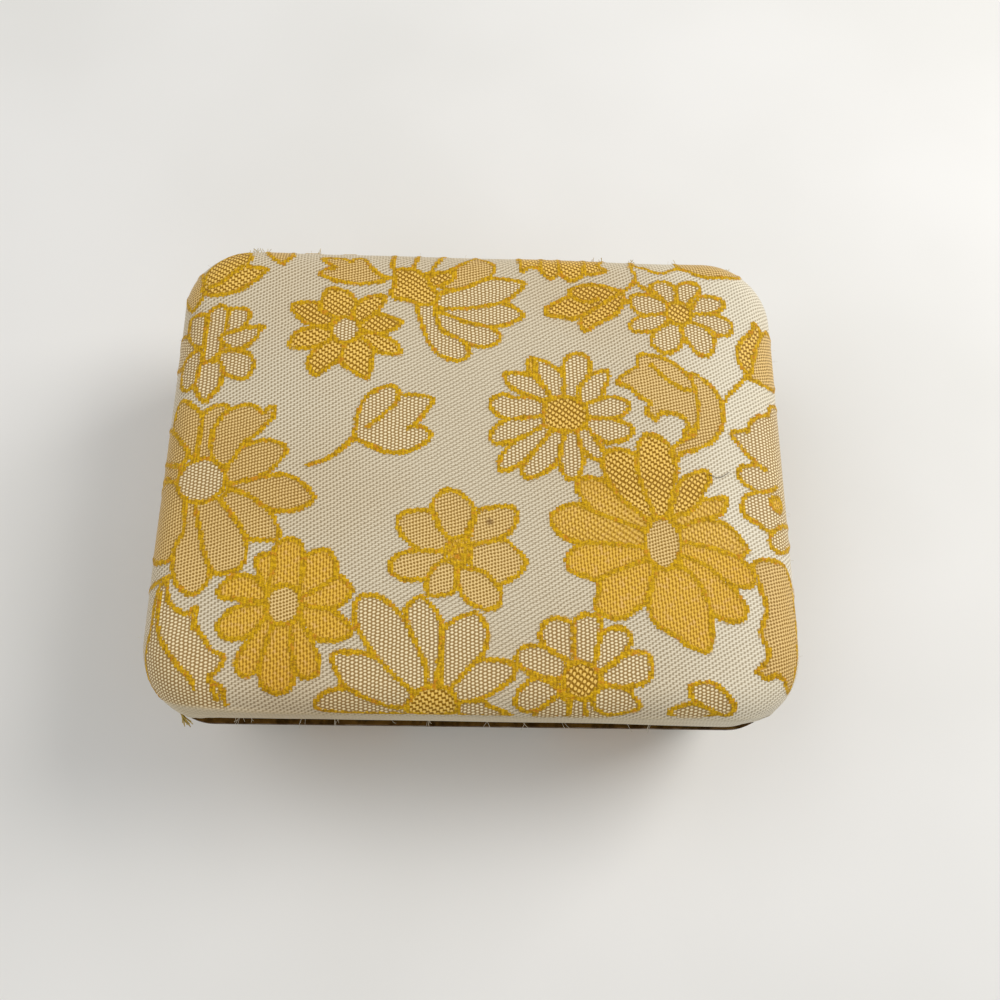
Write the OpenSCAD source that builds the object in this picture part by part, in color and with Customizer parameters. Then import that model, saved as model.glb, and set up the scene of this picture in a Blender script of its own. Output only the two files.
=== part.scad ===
// Padded brocade jewellery box: a clamshell with brass rims and a snap hinge at the back.
// The origin is at the middle of the face it stands on. The lid opens towards +Y.

/* [Body] */
// Width of the lid at its widest
box_w = 115; // [95:1:140]
// Depth of the lid at its widest, front to back
box_d = 92; // [75:1:120]
// Radius of the corners in plan at the widest
corner_r = 13.7; // [12:0.1:20]
// Height of the plane where lid and base meet
mouth_z = 22; // [19:0.5:32]
// Height of the lid from the meeting plane to the edge of its top
lid_rise = 17.8; // [15:0.1:26]
// Rise of the padded top above its edge
crown = 1.9; // [0.5:0.1:3.5]
// Radius of the rounded edge of the top
top_edge_r = 7.2; // [5:0.1:8.5]

/* [Cover] */
// Thickness of the brocade
cloth = 0.5; // [0.3:0.05:0.8]
// How far the cover draws in from its widest to the mouth
mouth_inset = 2.3; // [1.8:0.1:3]
// How far the base tapers in from the mouth to its foot
base_taper = 2.2; // [1:0.1:3]
// Radius of the bend between the base's side and its bottom
foot_r = 5; // [4:0.1:5.5]
// Distance over which the padded top rises from its edge
crown_reach = 26; // [18:1:32]
// Width of the brocade turned under the base
hem_w = 4; // [2:0.5:8]

/* [Shell] */
// Thickness of the pressed card
card = 1.2; // [0.8:0.1:1.8]
// Outer radius of the shell's bent edges
shell_edge_r = 4.5; // [3:0.1:6]
// Room for the wadding between the lid's shell and the edge of its top
lid_pad_room = 2.4; // [1.6:0.1:4]
// Thickness of the felt under the base
felt = 1; // [0.6:0.1:2]

/* [Rim] */
// How far the rim's edge stays inside the lid's widest outline
rim_inset = 1.3; // [0.8:0.1:1.7]
// Radius of the rim's outer corners
rim_corner_r = 9.5; // [8:0.1:13]
// Thickness of the brass sheet
brass = 0.6; // [0.4:0.05:0.8]
// Height of the upstand that grips the shell
upstand = 3; // [2:0.1:4]
// Gap between the two rims when the box is closed
rim_gap = 0.3; // [0.2:0.05:0.5]

/* [Lining] */
// Thickness of the satin strip on its card
lining = 0.8; // [0.4:0.1:1.2]
// Thickness of the card behind each pad
pad_card = 0.8; // [0.5:0.1:1.5]
// Thickness of the velvet pad in the base at its middle
base_pad_h = 5; // [3:0.5:8]
// Thickness of the satin pad in the lid at its middle
lid_pad_h = 3.5; // [2.5:0.5:6]
// Gap between a pad and the lining round it
pad_gap = 0.4; // [0.2:0.1:1]

/* [Hinge] */
// Length of the row of knuckles
hinge_w = 42; // [28:1:56]
// Number of knuckles, which the cam splits evenly
knuckles = 7; // [7:4:11]
// Outer radius of a knuckle
knuckle_r = 1.2; // [1.1:0.05:1.4]
// Radius of the hinge pin
pin_r = 0.6; // [0.45:0.05:0.7]
// Distance of the pin's axis behind the edge of the rims
axis_back = 0.6; // [0.5:0.05:0.9]
// Gap between neighbouring knuckles
knuckle_gap = 0.3; // [0.2:0.05:0.5]
// Height of each leaf's riveted flap
flap_h = 7; // [6:0.5:9]
// Radius of the rivet shanks
rivet_r = 0.6; // [0.5:0.05:0.8]
// Distance between a leaf's rivets
rivet_span = 30; // [20:1:36]

/* [Snap] */
// Distance of the cam's flats from the pin's axis
cam_flat = 1.15; // [1.05:0.05:1.3]
// Radius across the cam's rounded corners
cam_corner = 1.45; // [1.35:0.05:1.5]
// Width of the spring
spring_w = 4; // [3:0.5:5]
// Thickness of the spring
spring_t = 0.35; // [0.2:0.05:0.45]

/* [Fits] */
// Running clearance of the pin in the lid's knuckles
run_fit = 0.05; // [0.02:0.01:0.09]
// Clearance of the pin in the base's knuckles
tight_fit = 0.02; // [0.01:0.01:0.05]
// Glue line between pieces that lie on each other
glue = 0.1; // [0.08:0.01:0.15]

/* [Hidden] */
round_fn = 48;
// Steps along each quarter circle of a padded form
arc_steps = 9;
// Overlap of solids that are joined into one piece
join = 0.25;

brocade_colour = [0.85, 0.76, 0.6];
brass_colour = [0.62, 0.48, 0.24];
steel_colour = [0.6, 0.6, 0.62];
card_colour = [0.55, 0.47, 0.38];
wadding_colour = [0.94, 0.93, 0.9];
satin_colour = [0.86, 0.8, 0.68];
velvet_colour = [0.45, 0.1, 0.12];
felt_colour = [0.2, 0.16, 0.14];

// Heights of the two rims
lid_low = mouth_z + rim_gap / 2;
lid_sill = lid_low + brass;
base_high = mouth_z - rim_gap / 2;
base_sill = base_high - brass;

// Insets from the widest outline, counted from the outside in
shell_inset = mouth_inset + cloth + glue;
shell_inner = shell_inset + card;
upstand_outer = shell_inner + glue / 2;
upstand_inner = upstand_outer + brass;
lining_inset = upstand_inner + glue / 2;
lining_inner = lining_inset + lining;
pad_inset = lining_inner + pad_gap;

// Form of the lid's cover
lid_seat = lid_sill + glue / 2;
top_z = mouth_z + lid_rise;
belly_z = top_z - top_edge_r;
edge_turn = 90 - atan(2 * crown / crown_reach);
crown_start = top_edge_r * (1 - cos(edge_turn));

// Form of the base's cover
base_seat = base_sill - glue / 2;
under_z = felt + glue;
foot_z = under_z + foot_r;
grip_z = base_high - max(upstand, flap_h) - brass;
foot_inset = mouth_inset + base_taper + foot_r;
foot_corner = corner_r - foot_inset;

// Heights inside the base
base_floor = under_z + cloth + glue;
base_card_z = base_floor + card + glue;
base_pad_z = base_card_z + pad_card + glue;

// Heights inside the lid
lid_roof = top_z - lid_pad_room;
lid_card_z = lid_roof - card - glue - pad_card;
lid_pad_z = lid_card_z - glue;
roof_inset = shell_inset + shell_edge_r;

// Places round the hinge, where the two leaves mirror each other about the mouth
pin_y = box_d / 2 - rim_inset + axis_back;
web_end = pin_y - cam_corner - rim_gap;
shell_back = box_d / 2 - shell_inset;
flap_out = box_d / 2 - upstand_outer;
flap_in = flap_out - brass;
knuckle_pitch = hinge_w / knuckles;
rivet_rise = rim_gap / 2 + flap_h * 0.6;
rivet_head = rivet_r + 0.45;
countersink = brass * 0.7;

// The spring stands in a slot of the base's leaf
slot_w = spring_w + 2 * rim_gap;
spring_foot = base_high - flap_h + 2;
tongue_z = base_high - spring_t - glue / 2;
tongue_end = pin_y - cam_corner - rim_gap / 2;
spring_in = flap_out - spring_t;

// The box's outline at an inset, with true arcs at the corners
module rounded_plan(inset, radius) {
    w = box_w - 2 * inset;
    d = box_d - 2 * inset;
    square([w, d - 2 * radius], center = true);
    square([w - 2 * radius, d], center = true);
    for (x = [-1, 1], y = [-1, 1])
        translate([x * (w / 2 - radius), y * (d / 2 - radius)])
            circle(r = radius, $fn = round_fn);
}

module plate(inset, z, thickness, radius) {
    translate([0, 0, z])
        linear_extrude(height = thickness)
            rounded_plan(inset, radius);
}

// Carries a profile, drawn as inset across and height up, round the box with true arcs at the corners
module swept_ring() {
    straight_x = box_w - 2 * corner_r;
    straight_y = box_d - 2 * corner_r;
    for (side = [0, 180])
        rotate([0, 0, side]) {
            translate([-straight_x / 2, -box_d / 2, 0])
                rotate([90, 0, 90])
                    linear_extrude(height = straight_x)
                        children();
            translate([box_w / 2, -straight_y / 2, 0])
                rotate([90, 0, 180])
                    linear_extrude(height = straight_y)
                        children();
        }
    for (corner = [[1, 1, 0], [-1, 1, 90], [-1, -1, 180], [1, -1, 270]])
        translate([corner[0] * straight_x / 2, corner[1] * straight_y / 2, 0])
            rotate([0, 0, corner[2]])
                rotate_extrude(angle = 90, $fn = round_fn)
                    translate([corner_r, 0])
                        mirror([1, 0])
                            children();
}

// One loop of points round the box, at an inset that may be larger than the corner radius
function loop(inset, z, radius) = [
    for (corner = [0:3], step = [0:arc_steps])
        let (
            turn = corner * 90 + step * 90 / arc_steps,
            sx = corner == 0 || corner == 3 ? 1 : -1,
            sy = corner < 2 ? 1 : -1
        )
        [
            sx * (box_w / 2 - inset - radius) + radius * cos(turn),
            sy * (box_d / 2 - inset - radius) + radius * sin(turn),
            z
        ]
];

// A closed body through a stack of [inset, height, corner radius] levels, listed from the bottom up
module stacked_body(levels) {
    count = 4 * (arc_steps + 1);
    last = len(levels) - 1;
    points = [for (l = levels) each loop(l[0], l[1], l[2])];
    sides = [
        for (k = [0:last - 1], i = [0:count - 1])
            let (a = k * count + i, b = k * count + (i + 1) % count)
            each [[a, a + count, b], [b, a + count, b + count]]
    ];
    bottom = [[for (i = [0:count - 1]) i]];
    top = [[for (i = [count - 1:-1:0]) last * count + i]];
    polyhedron(points = points, faces = concat(sides, bottom, top));
}

// A dome-shaped skin: the outside listed from the mouth up, the inside from its top down
module stacked_dome(outside, inside) {
    count = 4 * (arc_steps + 1);
    rise = len(outside);
    levels = concat(outside, inside);
    total = len(levels);
    points = [for (l = levels) each loop(l[0], l[1], l[2])];
    sides = [
        for (k = [0:total - 1], i = [0:count - 1])
            let (
                next = (k + 1) % total,
                a = k * count + i,
                b = k * count + (i + 1) % count,
                c = next * count + i,
                d = next * count + (i + 1) % count
            )
            if (k != rise - 1) each [[a, c, b], [b, c, d]]
    ];
    top = [[for (i = [count - 1:-1:0]) (rise - 1) * count + i]];
    roof = [[for (i = [0:count - 1]) rise * count + i]];
    polyhedron(points = points, faces = concat(sides, top, roof));
}

function reversed(list) = [for (i = [len(list) - 1:-1:0]) list[i]];

// Levels of the lid's cover at a depth under its surface
function lid_side(depth, from) = [
    for (t = [0, 0.15, 0.35, 0.6, 1])
        let (inset = mouth_inset * pow(1 - t, 2.2) + depth)
        if (t >= from) [inset, lid_seat + t * (belly_z - lid_seat), corner_r - inset]
];

function lid_edge(depth) = [
    for (k = [1:5])
        let (
            r = top_edge_r - depth,
            inset = top_edge_r - r * cos(k * edge_turn / 5)
        )
        [inset, belly_z + r * sin(k * edge_turn / 5), corner_r - inset]
];

function lid_crown(depth) = [
    for (s = [0.15, 0.35, 0.6, 1])
        let (
            inset = crown_start + s * crown_reach,
            edge_z = belly_z + top_edge_r * sin(edge_turn),
            radius = corner_r - crown_start + 0.3 * s * crown_reach
        )
        [inset, edge_z + crown * (1 - pow(1 - s, 2)) - depth, min(radius, 0.8 * (box_d / 2 - inset))]
];

function lid_levels(depth, from) = concat(lid_side(depth, from), lid_edge(depth), lid_crown(depth));

// Profile points of the base's cover at a depth under its surface, from the mouth down
function base_side(depth, high) = concat(
    [[mouth_inset + depth, high], [mouth_inset + depth, grip_z]],
    [
        for (t = [0.5, 1])
            [mouth_inset + depth + base_taper * pow(t, 1.5), grip_z - t * (grip_z - foot_z)]
    ]
);

function base_bend(depth) = concat(
    [
        for (a = [15:15:90])
            [foot_inset - (foot_r - depth) * cos(a), foot_z - (foot_r - depth) * sin(a)]
    ],
    [[foot_inset + 2 * join, foot_z - (foot_r - depth)]]
);

function base_profile(depth) = concat(base_side(depth, base_seat), base_bend(depth));

// A rivet through the back wall, flush at both ends, or its hole when it is grown
module rivet(rise, from, head, grow = 0) {
    over = grow > 0 ? 1 : 0;
    length = shell_back - from;
    shank = rivet_r + grow;
    flare = rivet_head + grow;
    translate([0, from, rise])
        rotate([-90, 0, 0])
            rotate_extrude($fn = round_fn)
                polygon([
                    [0, -over],
                    [flare, -over],
                    [flare, head == "flat" ? glue * 2 : 0],
                    [shank, head == "flat" ? glue * 2 : countersink],
                    [shank, length - countersink],
                    [flare, length],
                    [flare, length + over],
                    [0, length + over]
                ]);
}

module leaf_rivets(rise, grow = 0)
    for (x = [-1, 1])
        translate([x * rivet_span / 2, 0, 0])
            rivet(rise, flap_in, "sunk", grow);

module spring_fixing(grow = 0)
    rivet(spring_foot + 1.5, spring_in - glue * 2, "flat", grow);

module along_pin(start, length)
    translate([start, pin_y, mouth_z])
        rotate([0, 90, 0])
            linear_extrude(height = length)
                children();

function is_cam(i) = i == (knuckles - 1) / 2;

// A hinge leaf above the mouth: flap, web and the knuckles whose number is odd or even
module hinge_leaf(odd, bore) {
    difference() {
        union() {
            translate([-hinge_w / 2, flap_in, lid_low])
                cube([hinge_w, brass, flap_h]);
            translate([-hinge_w / 2, flap_in, lid_low])
                cube([hinge_w, web_end - flap_in, brass]);
            for (i = [0:knuckles - 1])
                if (i % 2 == odd) {
                    start = -hinge_w / 2 + i * knuckle_pitch + knuckle_gap / 2;
                    length = knuckle_pitch - knuckle_gap;
                    translate([start, web_end - join, lid_low])
                        cube([length, pin_y - (knuckle_r + pin_r) / 2 - web_end + join, brass]);
                    along_pin(start, length)
                        if (is_cam(i))
                            intersection() {
                                square(2 * cam_flat, center = true);
                                circle(r = cam_corner, $fn = round_fn);
                            }
                        else
                            circle(r = knuckle_r, $fn = round_fn);
                }
        }
        along_pin(-hinge_w, 2 * hinge_w)
            circle(r = bore, $fn = round_fn);
        leaf_rivets(mouth_z + rivet_rise, glue / 2);
    }
}

// A rim's flange and upstand above the mouth, open at the back for the hinge leaf
module rim() {
    difference() {
        union() {
            difference() {
                plate(rim_inset, lid_low, brass, rim_corner_r);
                plate(upstand_outer + join, lid_low - 1, brass + 2, corner_r - upstand_outer - join);
            }
            swept_ring()
                translate([upstand_outer, lid_low])
                    square([brass, brass + upstand]);
        }
        translate([-hinge_w / 2 - knuckle_gap, flap_in - 1, lid_low - 1])
            cube([hinge_w + 2 * knuckle_gap, box_d, upstand + 3]);
    }
}

module to_base()
    translate([0, 0, 2 * mouth_z])
        mirror([0, 0, 1])
            children();

module base_shell() color(card_colour)
    difference() {
        union() {
            swept_ring()
                polygon(concat(
                    base_profile(cloth + glue),
                    reversed(base_profile(cloth + glue + card))
                ));
            plate(foot_inset + join, base_floor, card, foot_corner - join);
        }
        leaf_rivets(mouth_z - rivet_rise, glue / 2);
        spring_fixing(glue / 2);
    }

module base_brocade() color(brocade_colour) {
    swept_ring()
        polygon(concat(base_profile(0), reversed(base_profile(cloth))));
    difference() {
        plate(foot_inset + join, under_z, cloth, foot_corner - join);
        plate(foot_inset + hem_w, under_z - 1, cloth + 2, 1);
    }
}

module base_felt() color(felt_colour)
    plate(foot_inset + join, 0, felt, foot_corner - join);

module base_rim() color(brass_colour)
    to_base()
        rim();

module base_lining() color(satin_colour)
    swept_ring()
        polygon(concat(
            base_side(lining_inset - mouth_inset, base_high - glue),
            reversed(base_side(lining_inner - mouth_inset, base_high - glue))
        ));

module base_pad_card() color(card_colour)
    plate(foot_inset + glue, base_card_z, pad_card, foot_corner - glue);

// A velvet cushion with drawn-in sides and a crowned top
module base_pad() color(velvet_colour) {
    wide = mouth_inset + base_taper + pad_inset - mouth_inset;
    stacked_body([
        for (l = [
            [foot_inset + 0.5 - wide, 0], [0.4, 0.18], [0, 0.38], [0.25, 0.56], [1, 0.74],
            [2.6, 0.86], [7, 0.95], [15, 1]
        ])
            [wide + l[0], base_pad_z + base_pad_h * l[1], max(corner_r - wide - l[0] * 0.2, 2)]
    ]);
}

module base_hinge_leaf() color(brass_colour)
    difference() {
        to_base()
            hinge_leaf(0, pin_r + tight_fit);
        translate([-slot_w / 2, flap_in - 1, spring_foot - rim_gap])
            cube([slot_w, web_end - flap_in + 2, flap_h]);
    }

module hinge_pin() color(steel_colour) {
    along_pin(-hinge_w / 2, hinge_w)
        circle(r = pin_r, $fn = round_fn);
    for (start = [-hinge_w / 2 - knuckle_gap, hinge_w / 2])
        along_pin(start, knuckle_gap)
            circle(r = (pin_r + knuckle_r) / 2, $fn = round_fn);
}

module snap_spring() color(steel_colour)
    difference() {
        union() {
            translate([-spring_w / 2, spring_in, spring_foot])
                cube([spring_w, spring_t, tongue_z + spring_t - spring_foot]);
            translate([-spring_w / 2, spring_in, tongue_z])
                cube([spring_w, tongue_end - spring_in, spring_t]);
        }
        translate([0, 0, spring_foot + 1.5])
            rotate([-90, 0, 0])
                cylinder(r = rivet_r + glue / 2, h = box_d, $fn = round_fn);
    }

module base_hinge_rivets() color(brass_colour)
    leaf_rivets(mouth_z - rivet_rise);

module spring_rivet() color(brass_colour)
    spring_fixing();

// Pressed card with a bent edge and a flat roof
module lid_shell() color(card_colour)
    difference() {
        union() {
            swept_ring() {
                translate([shell_inset, lid_seat])
                    square([card, lid_roof - shell_edge_r - lid_seat]);
                translate([roof_inset, lid_roof - shell_edge_r])
                    intersection() {
                        difference() {
                            circle(r = shell_edge_r, $fn = round_fn);
                            circle(r = shell_edge_r - card, $fn = round_fn);
                        }
                        translate([-shell_edge_r, 0])
                            square(shell_edge_r);
                    }
                translate([roof_inset, lid_roof - card])
                    square([2 * join, card]);
            }
            plate(roof_inset + join, lid_roof - card, card, corner_r - roof_inset - join);
        }
        leaf_rivets(mouth_z + rivet_rise, glue / 2);
    }

module lid_wadding() color(wadding_colour) {
    low = lid_levels(cloth + glue, 0.15);
    fold = shell_edge_r + glue;
    inside = [
        for (a = [90:-15:0])
            let (inset = roof_inset - fold * cos(a))
            [inset, lid_roof - shell_edge_r + fold * sin(a), corner_r - inset]
    ];
    inner = shell_inset - glue;
    stacked_dome(low, concat(inside, [[inner, low[0][1], corner_r - inner]]));
}

module lid_brocade() color(brocade_colour)
    stacked_dome(lid_levels(0, 0), reversed(lid_levels(cloth, 0)));

module lid_rim() color(brass_colour)
    rim();

module lid_lining() color(satin_colour)
    swept_ring()
        translate([lining_inset, lid_low + glue])
            square([lining, lid_pad_z - lid_pad_h * 0.3 - lid_low]);

module lid_pad_card() color(card_colour)
    plate(roof_inset, lid_card_z, pad_card, corner_r - roof_inset);

// A satin pad that bulges down from its card
module lid_pad() color(satin_colour)
    stacked_body([
        for (l = [
            [15, 1], [7, 0.95], [2.6, 0.86], [1, 0.74], [0.25, 0.56], [0, 0.38],
            [roof_inset - pad_inset, 0]
        ])
            [pad_inset + l[0], lid_pad_z - lid_pad_h * l[1], max(corner_r - pad_inset - l[0] * 0.2, 2)]
    ]);

module lid_hinge_leaf() color(brass_colour)
    hinge_leaf(1, pin_r + run_fit);

module lid_hinge_rivets() color(brass_colour)
    leaf_rivets(mouth_z + rivet_rise);

base_shell();
base_brocade();
base_felt();
base_rim();
base_lining();
base_pad_card();
base_pad();
base_hinge_leaf();
hinge_pin();
snap_spring();
base_hinge_rivets();
spring_rivet();
lid_shell();
lid_wadding();
lid_brocade();
lid_rim();
lid_lining();
lid_pad_card();
lid_pad();
lid_hinge_leaf();
lid_hinge_rivets();
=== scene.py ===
import bpy
import bmesh
import math
import random
import numpy as np
from mathutils import Matrix, Vector, noise


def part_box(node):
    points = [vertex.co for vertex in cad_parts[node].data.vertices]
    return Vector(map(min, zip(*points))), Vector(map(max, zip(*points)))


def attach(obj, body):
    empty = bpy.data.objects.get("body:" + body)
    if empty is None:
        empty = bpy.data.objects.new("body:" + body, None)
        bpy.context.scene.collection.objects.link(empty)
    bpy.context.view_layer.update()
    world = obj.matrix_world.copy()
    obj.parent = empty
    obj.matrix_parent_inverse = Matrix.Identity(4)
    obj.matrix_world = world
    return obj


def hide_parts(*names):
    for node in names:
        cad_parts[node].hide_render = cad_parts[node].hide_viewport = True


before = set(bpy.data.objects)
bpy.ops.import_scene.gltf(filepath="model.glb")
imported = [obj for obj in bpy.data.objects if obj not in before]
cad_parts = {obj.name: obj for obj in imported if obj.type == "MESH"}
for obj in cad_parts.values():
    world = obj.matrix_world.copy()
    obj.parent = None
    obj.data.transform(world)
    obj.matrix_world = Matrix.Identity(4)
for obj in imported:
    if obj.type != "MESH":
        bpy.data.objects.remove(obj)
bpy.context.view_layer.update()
mm = 0.001
tiny = 1e-9  # keeps a division away from zero
print("brocade box: frame loaded")

# Form of the box in mm, as the solids have it
boxForm = {
    "halfWidth": 57.5, "halfDepth": 46.0, "cornerRadius": 13.7,
    "mouthInset": 2.3, "lidSeat": 22.8, "bellyHeight": 32.6, "sideCurve": 2.2,
    "edgeRadius": 7.2, "edgeTurn": math.radians(81.7), "crown": 1.9, "crownReach": 26.0,
    "baseSeat": 21.2, "gripHeight": 14.25, "footHeight": 6.1, "baseTaper": 2.2, "taperCurve": 1.5,
    "footRadius": 5.0, "underHeight": 1.1, "underReach": 3.6,
}


def tone(red, green, blue):
    # a colour given in 0 to 255, made linear for the shader
    parts = []
    for part in (red, green, blue):
        part /= 255
        parts.append(part / 12.92 if part <= 0.04045 else ((part + 0.055) / 1.055) ** 2.4)
    return (*parts, 1.0)


def addNode(tree, kind, inputs=None, **settings):
    node = tree.nodes.new("ShaderNode" + kind)
    for key, value in settings.items():
        setattr(node, key, value)
    for key, value in (inputs or {}).items():
        if isinstance(value, bpy.types.NodeSocket):
            tree.links.new(value, node.inputs[key])
        else:
            node.inputs[key].default_value = value
    return node


def calc(tree, operation, *values, clamp=False):
    inputs = dict(enumerate(values))
    return addNode(tree, "Math", inputs, operation=operation, use_clamp=clamp).outputs[0]


def vectorCalc(tree, operation, *values):
    # a sum or a difference is a vector, and the other results used here are numbers
    node = addNode(tree, "VectorMath", dict(enumerate(values)), operation=operation)
    return node.outputs["Vector" if operation in ("ADD", "SUBTRACT") else "Value"]


def scaled(tree, vector, factor):
    return addNode(tree, "VectorMath", {0: vector, "Scale": factor}, operation="SCALE").outputs[0]


def readCloth(tree, name, output="Fac"):
    # what the mesh carries at each spot under that name
    return addNode(tree, "Attribute", attribute_name=name).outputs[output]


def blendColour(tree, factor, first, second, mode="MIX"):
    inputs = {0: factor, 6: first, 7: second}
    return addNode(tree, "Mix", inputs, data_type="RGBA", blend_type=mode).outputs[2]


def fade(tree, value, low, high, start=0.0, end=1.0):
    # a smooth step from start to end while value goes from low to high
    inputs = {"Value": value, "From Min": low, "From Max": high, "To Min": start, "To Max": end}
    return addNode(tree, "MapRange", inputs, interpolation_type="SMOOTHSTEP").outputs[0]


def jitter(tree, value, strength):
    # a value of 0 to 1 becomes one that swings about zero
    return calc(tree, "MULTIPLY_ADD", value, strength, -strength / 2)


def cloud(tree, place, size, detail=2.0, roughness=0.5):
    # noise over lumps of that size in metres
    inputs = {"Vector": place, "Scale": 1 / size, "Detail": detail, "Roughness": roughness}
    return addNode(tree, "TexNoise", inputs).outputs[0]


def speckle(tree, inMm, scale, detail, output=0):
    # noise with that many lumps to the mm
    inputs = {"Vector": inMm, "Scale": scale, "Detail": detail}
    return addNode(tree, "TexNoise", inputs).outputs[output]


def patches(tree, inMm, form):
    # how much of a patch's own tone shows at each spot
    lumps = speckle(tree, inMm, form["scale"], form["detail"])
    return fade(tree, lumps, form["from"], form["full"], 0.0, form["share"])


def stretched(tree, place, scales):
    return addNode(tree, "Mapping", {"Vector": place, "Scale": scales}).outputs[0]


def newMaterial(name):
    material = bpy.data.materials.new(name)
    material.use_nodes = True
    tree = material.node_tree
    tree.nodes.clear()
    return material, tree, addNode(tree, "TexCoord").outputs["Object"]


def finishMaterial(tree, colour, roughness, bumps=(), **constants):
    # bumps are (height socket, strength, distance), laid one on another
    shader = addNode(tree, "BsdfPrincipled", {"Base Color": colour, "Roughness": roughness})
    for key, value in constants.items():
        shader.inputs[key.replace("_", " ")].default_value = value
    normal = None
    for height, strength, distance in bumps:
        inputs = {"Height": height, "Strength": strength, "Distance": distance}
        if normal:
            inputs["Normal"] = normal
        normal = addNode(tree, "Bump", inputs).outputs[0]
    if normal:
        tree.links.new(normal, shader.inputs["Normal"])
    tree.links.new(shader.outputs[0], addNode(tree, "OutputMaterial").inputs[0])


def wave(tree, place, beats):
    # threads as a sum of cosines, each beat being (across, up, strength) in threads to the mm
    total = None
    for across, up, strength in beats:
        phase = vectorCalc(tree, "DOT_PRODUCT", place, (across * math.tau, up * math.tau, 0.0))
        part = calc(tree, "MULTIPLY", calc(tree, "COSINE", phase), strength)
        total = part if total is None else calc(tree, "ADD", total, part)
    return total


# The brocade: its weaves, the outlines' thick yellow thread, the satin lip, what age did to it, and its
# painted sheen and painted shade.
# Tones are given in 0 to 255, scales in lumps to the mm, places on the cloth in mm, the rest in metres.
brocadeFinish = {
    "weaves": {
        "ground": {"beats": [(0.78, -1.26, 1.0), (1.72, 0.13, 0.5), (0.93, 1.39, 0.5), (0.15, 2.65, 0.6)],
                   "edge": (-1.3, 0.5), "dark": (160, 142, 112), "light": (222, 209, 182)},
        "light": {"beats": [(0.88, -1.64, 0.9), (0.56, 1.68, 0.8), (1.44, 0.04, 0.9)],
                  "edge": (-1.0, 1.6), "dark": (158, 126, 76), "light": (252, 234, 190)},
        "dense": {"beats": [(0.52, -1.59, 0.9), (1.28, 1.72, 0.4), (1.80, 0.11, 0.8)],
                  "edge": (-1.0, 1.1), "dark": (150, 112, 44), "light": (238, 204, 136)},
        "gold": {"beats": [(0.62, 0.93, 0.8), (1.14, -0.79, 0.6), (0.53, -1.64, 0.45), (1.76, 0.14, 0.55)],
                 "edge": (-0.75, 0.75), "dark": (144, 100, 0), "light": (246, 204, 104)},
        "rich": {"beats": [(1.80, 0.11, 1.0), (0.64, 0.90, 0.45), (0.50, -1.60, 0.5)],
                 "edge": (-1.2, 0.9), "dark": (162, 114, 0), "light": (236, 188, 70),
                 "peach": {"tone": (232, 184, 120), "scale": 0.9, "detail": 3.0, "from": 0.5, "full": 0.66,
                           "share": 0.55}},
    },
    "wander": {"scale": 0.35, "far": 0.5},
    "fleck": {"scale": 2.6, "strength": 1.6},
    "fillEdge": (0.35, 0.65),
    "cord": {"dark": (136, 96, 0), "light": (228, 180, 16), "width": 0.45, "soft": 0.06,
             "stitch": (0.57, 0.42), "lean": 0.85, "ragged": 0.16, "ply": 0.3,
             "swell": {"scale": 0.45, "strength": -0.5},
             "grain": {"scale": 1.7, "from": 0.36, "full": 0.64, "strength": 0.5},
             # painted highlight: each stitch is made lighter at its middle
             "knot": {"from": 0.08, "full": 0.34, "strength": 0.3},
             "orange": {"tone": (204, 124, 34), "scale": 0.8, "detail": 2.0, "from": 0.57, "full": 0.68,
                        "share": 0.6}},
    "shadow": {"tone": (132, 98, 40), "reach": 0.3, "share": 0.22},
    "lip": {"dark": (206, 190, 156), "light": (222, 208, 176), "folds": 0.0016, "stretch": (0.06, 1.0, 1.0),
            "edge": (0.3, 0.7), "share": 0.62},
    "aged": {"tone": (238, 226, 206), "size": 0.03, "edge": (0.35, 0.7), "share": 0.35},
    # painted sheen: the bare ground is made paler towards the right
    "paintedSheen": {"tone": (246, 240, 220), "from": 0.028, "full": 0.05, "share": (0.15, 0.42)},
    # painted shade: the cloth is made darker towards the front left
    "paintedShade": {"tone": (226, 208, 180), "at": (-0.031, -0.050, 0.036), "ragged": 0.006, "from": 0.006,
               "to": 0.024, "share": 0.5},
    "spot": {"tone": (118, 84, 40), "at": (2.2, -11.8, 0.0), "ragged": 1.2, "from": 0.15, "to": 1.0,
             "share": 0.75},
    "relief": {"weave": 0.45, "cord": (0.6, 0.00018), "folds": (0.5, 0.0006)},
    "roughness": (0.46, 0.55),
}


def mixWeaves(tree, look, inMm, threads, fleck):
    # the ground's weave, with each petal's weave over it where the cloth's masks say so
    mask = addNode(tree, "Attribute", attribute_name="fillMask")
    parts = addNode(tree, "SeparateColor", {0: mask.outputs["Color"]}).outputs
    shares = {"light": parts[0], "dense": parts[1], "gold": parts[2], "rich": mask.outputs["Alpha"]}
    mixed = {}
    for fill, form in look["weaves"].items():
        loose = jitter(tree, fleck, look["fleck"]["strength"])
        lit = fade(tree, calc(tree, "ADD", wave(tree, threads, form["beats"]), loose), *form["edge"])
        own = blendColour(tree, lit, tone(*form["dark"]), tone(*form["light"]))
        if "peach" in form:
            peachy = calc(tree, "MULTIPLY", patches(tree, inMm, form["peach"]), lit)
            own = blendColour(tree, peachy, own, tone(*form["peach"]["tone"]))
        if fill == "ground":
            mixed = {"colour": own, "height": lit, "bare": 1.0, "groundColour": own, "groundLit": lit}
            continue
        share = fade(tree, shares[fill], *look["fillEdge"])
        mixed["bare"] = calc(tree, "MULTIPLY", mixed["bare"], calc(tree, "SUBTRACT", 1.0, share))
        mixed["colour"] = blendColour(tree, share, mixed["colour"], own)
        mixed["height"] = addNode(tree, "Mix", {0: share, 2: mixed["height"], 3: lit}).outputs[0]
    return mixed


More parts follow.
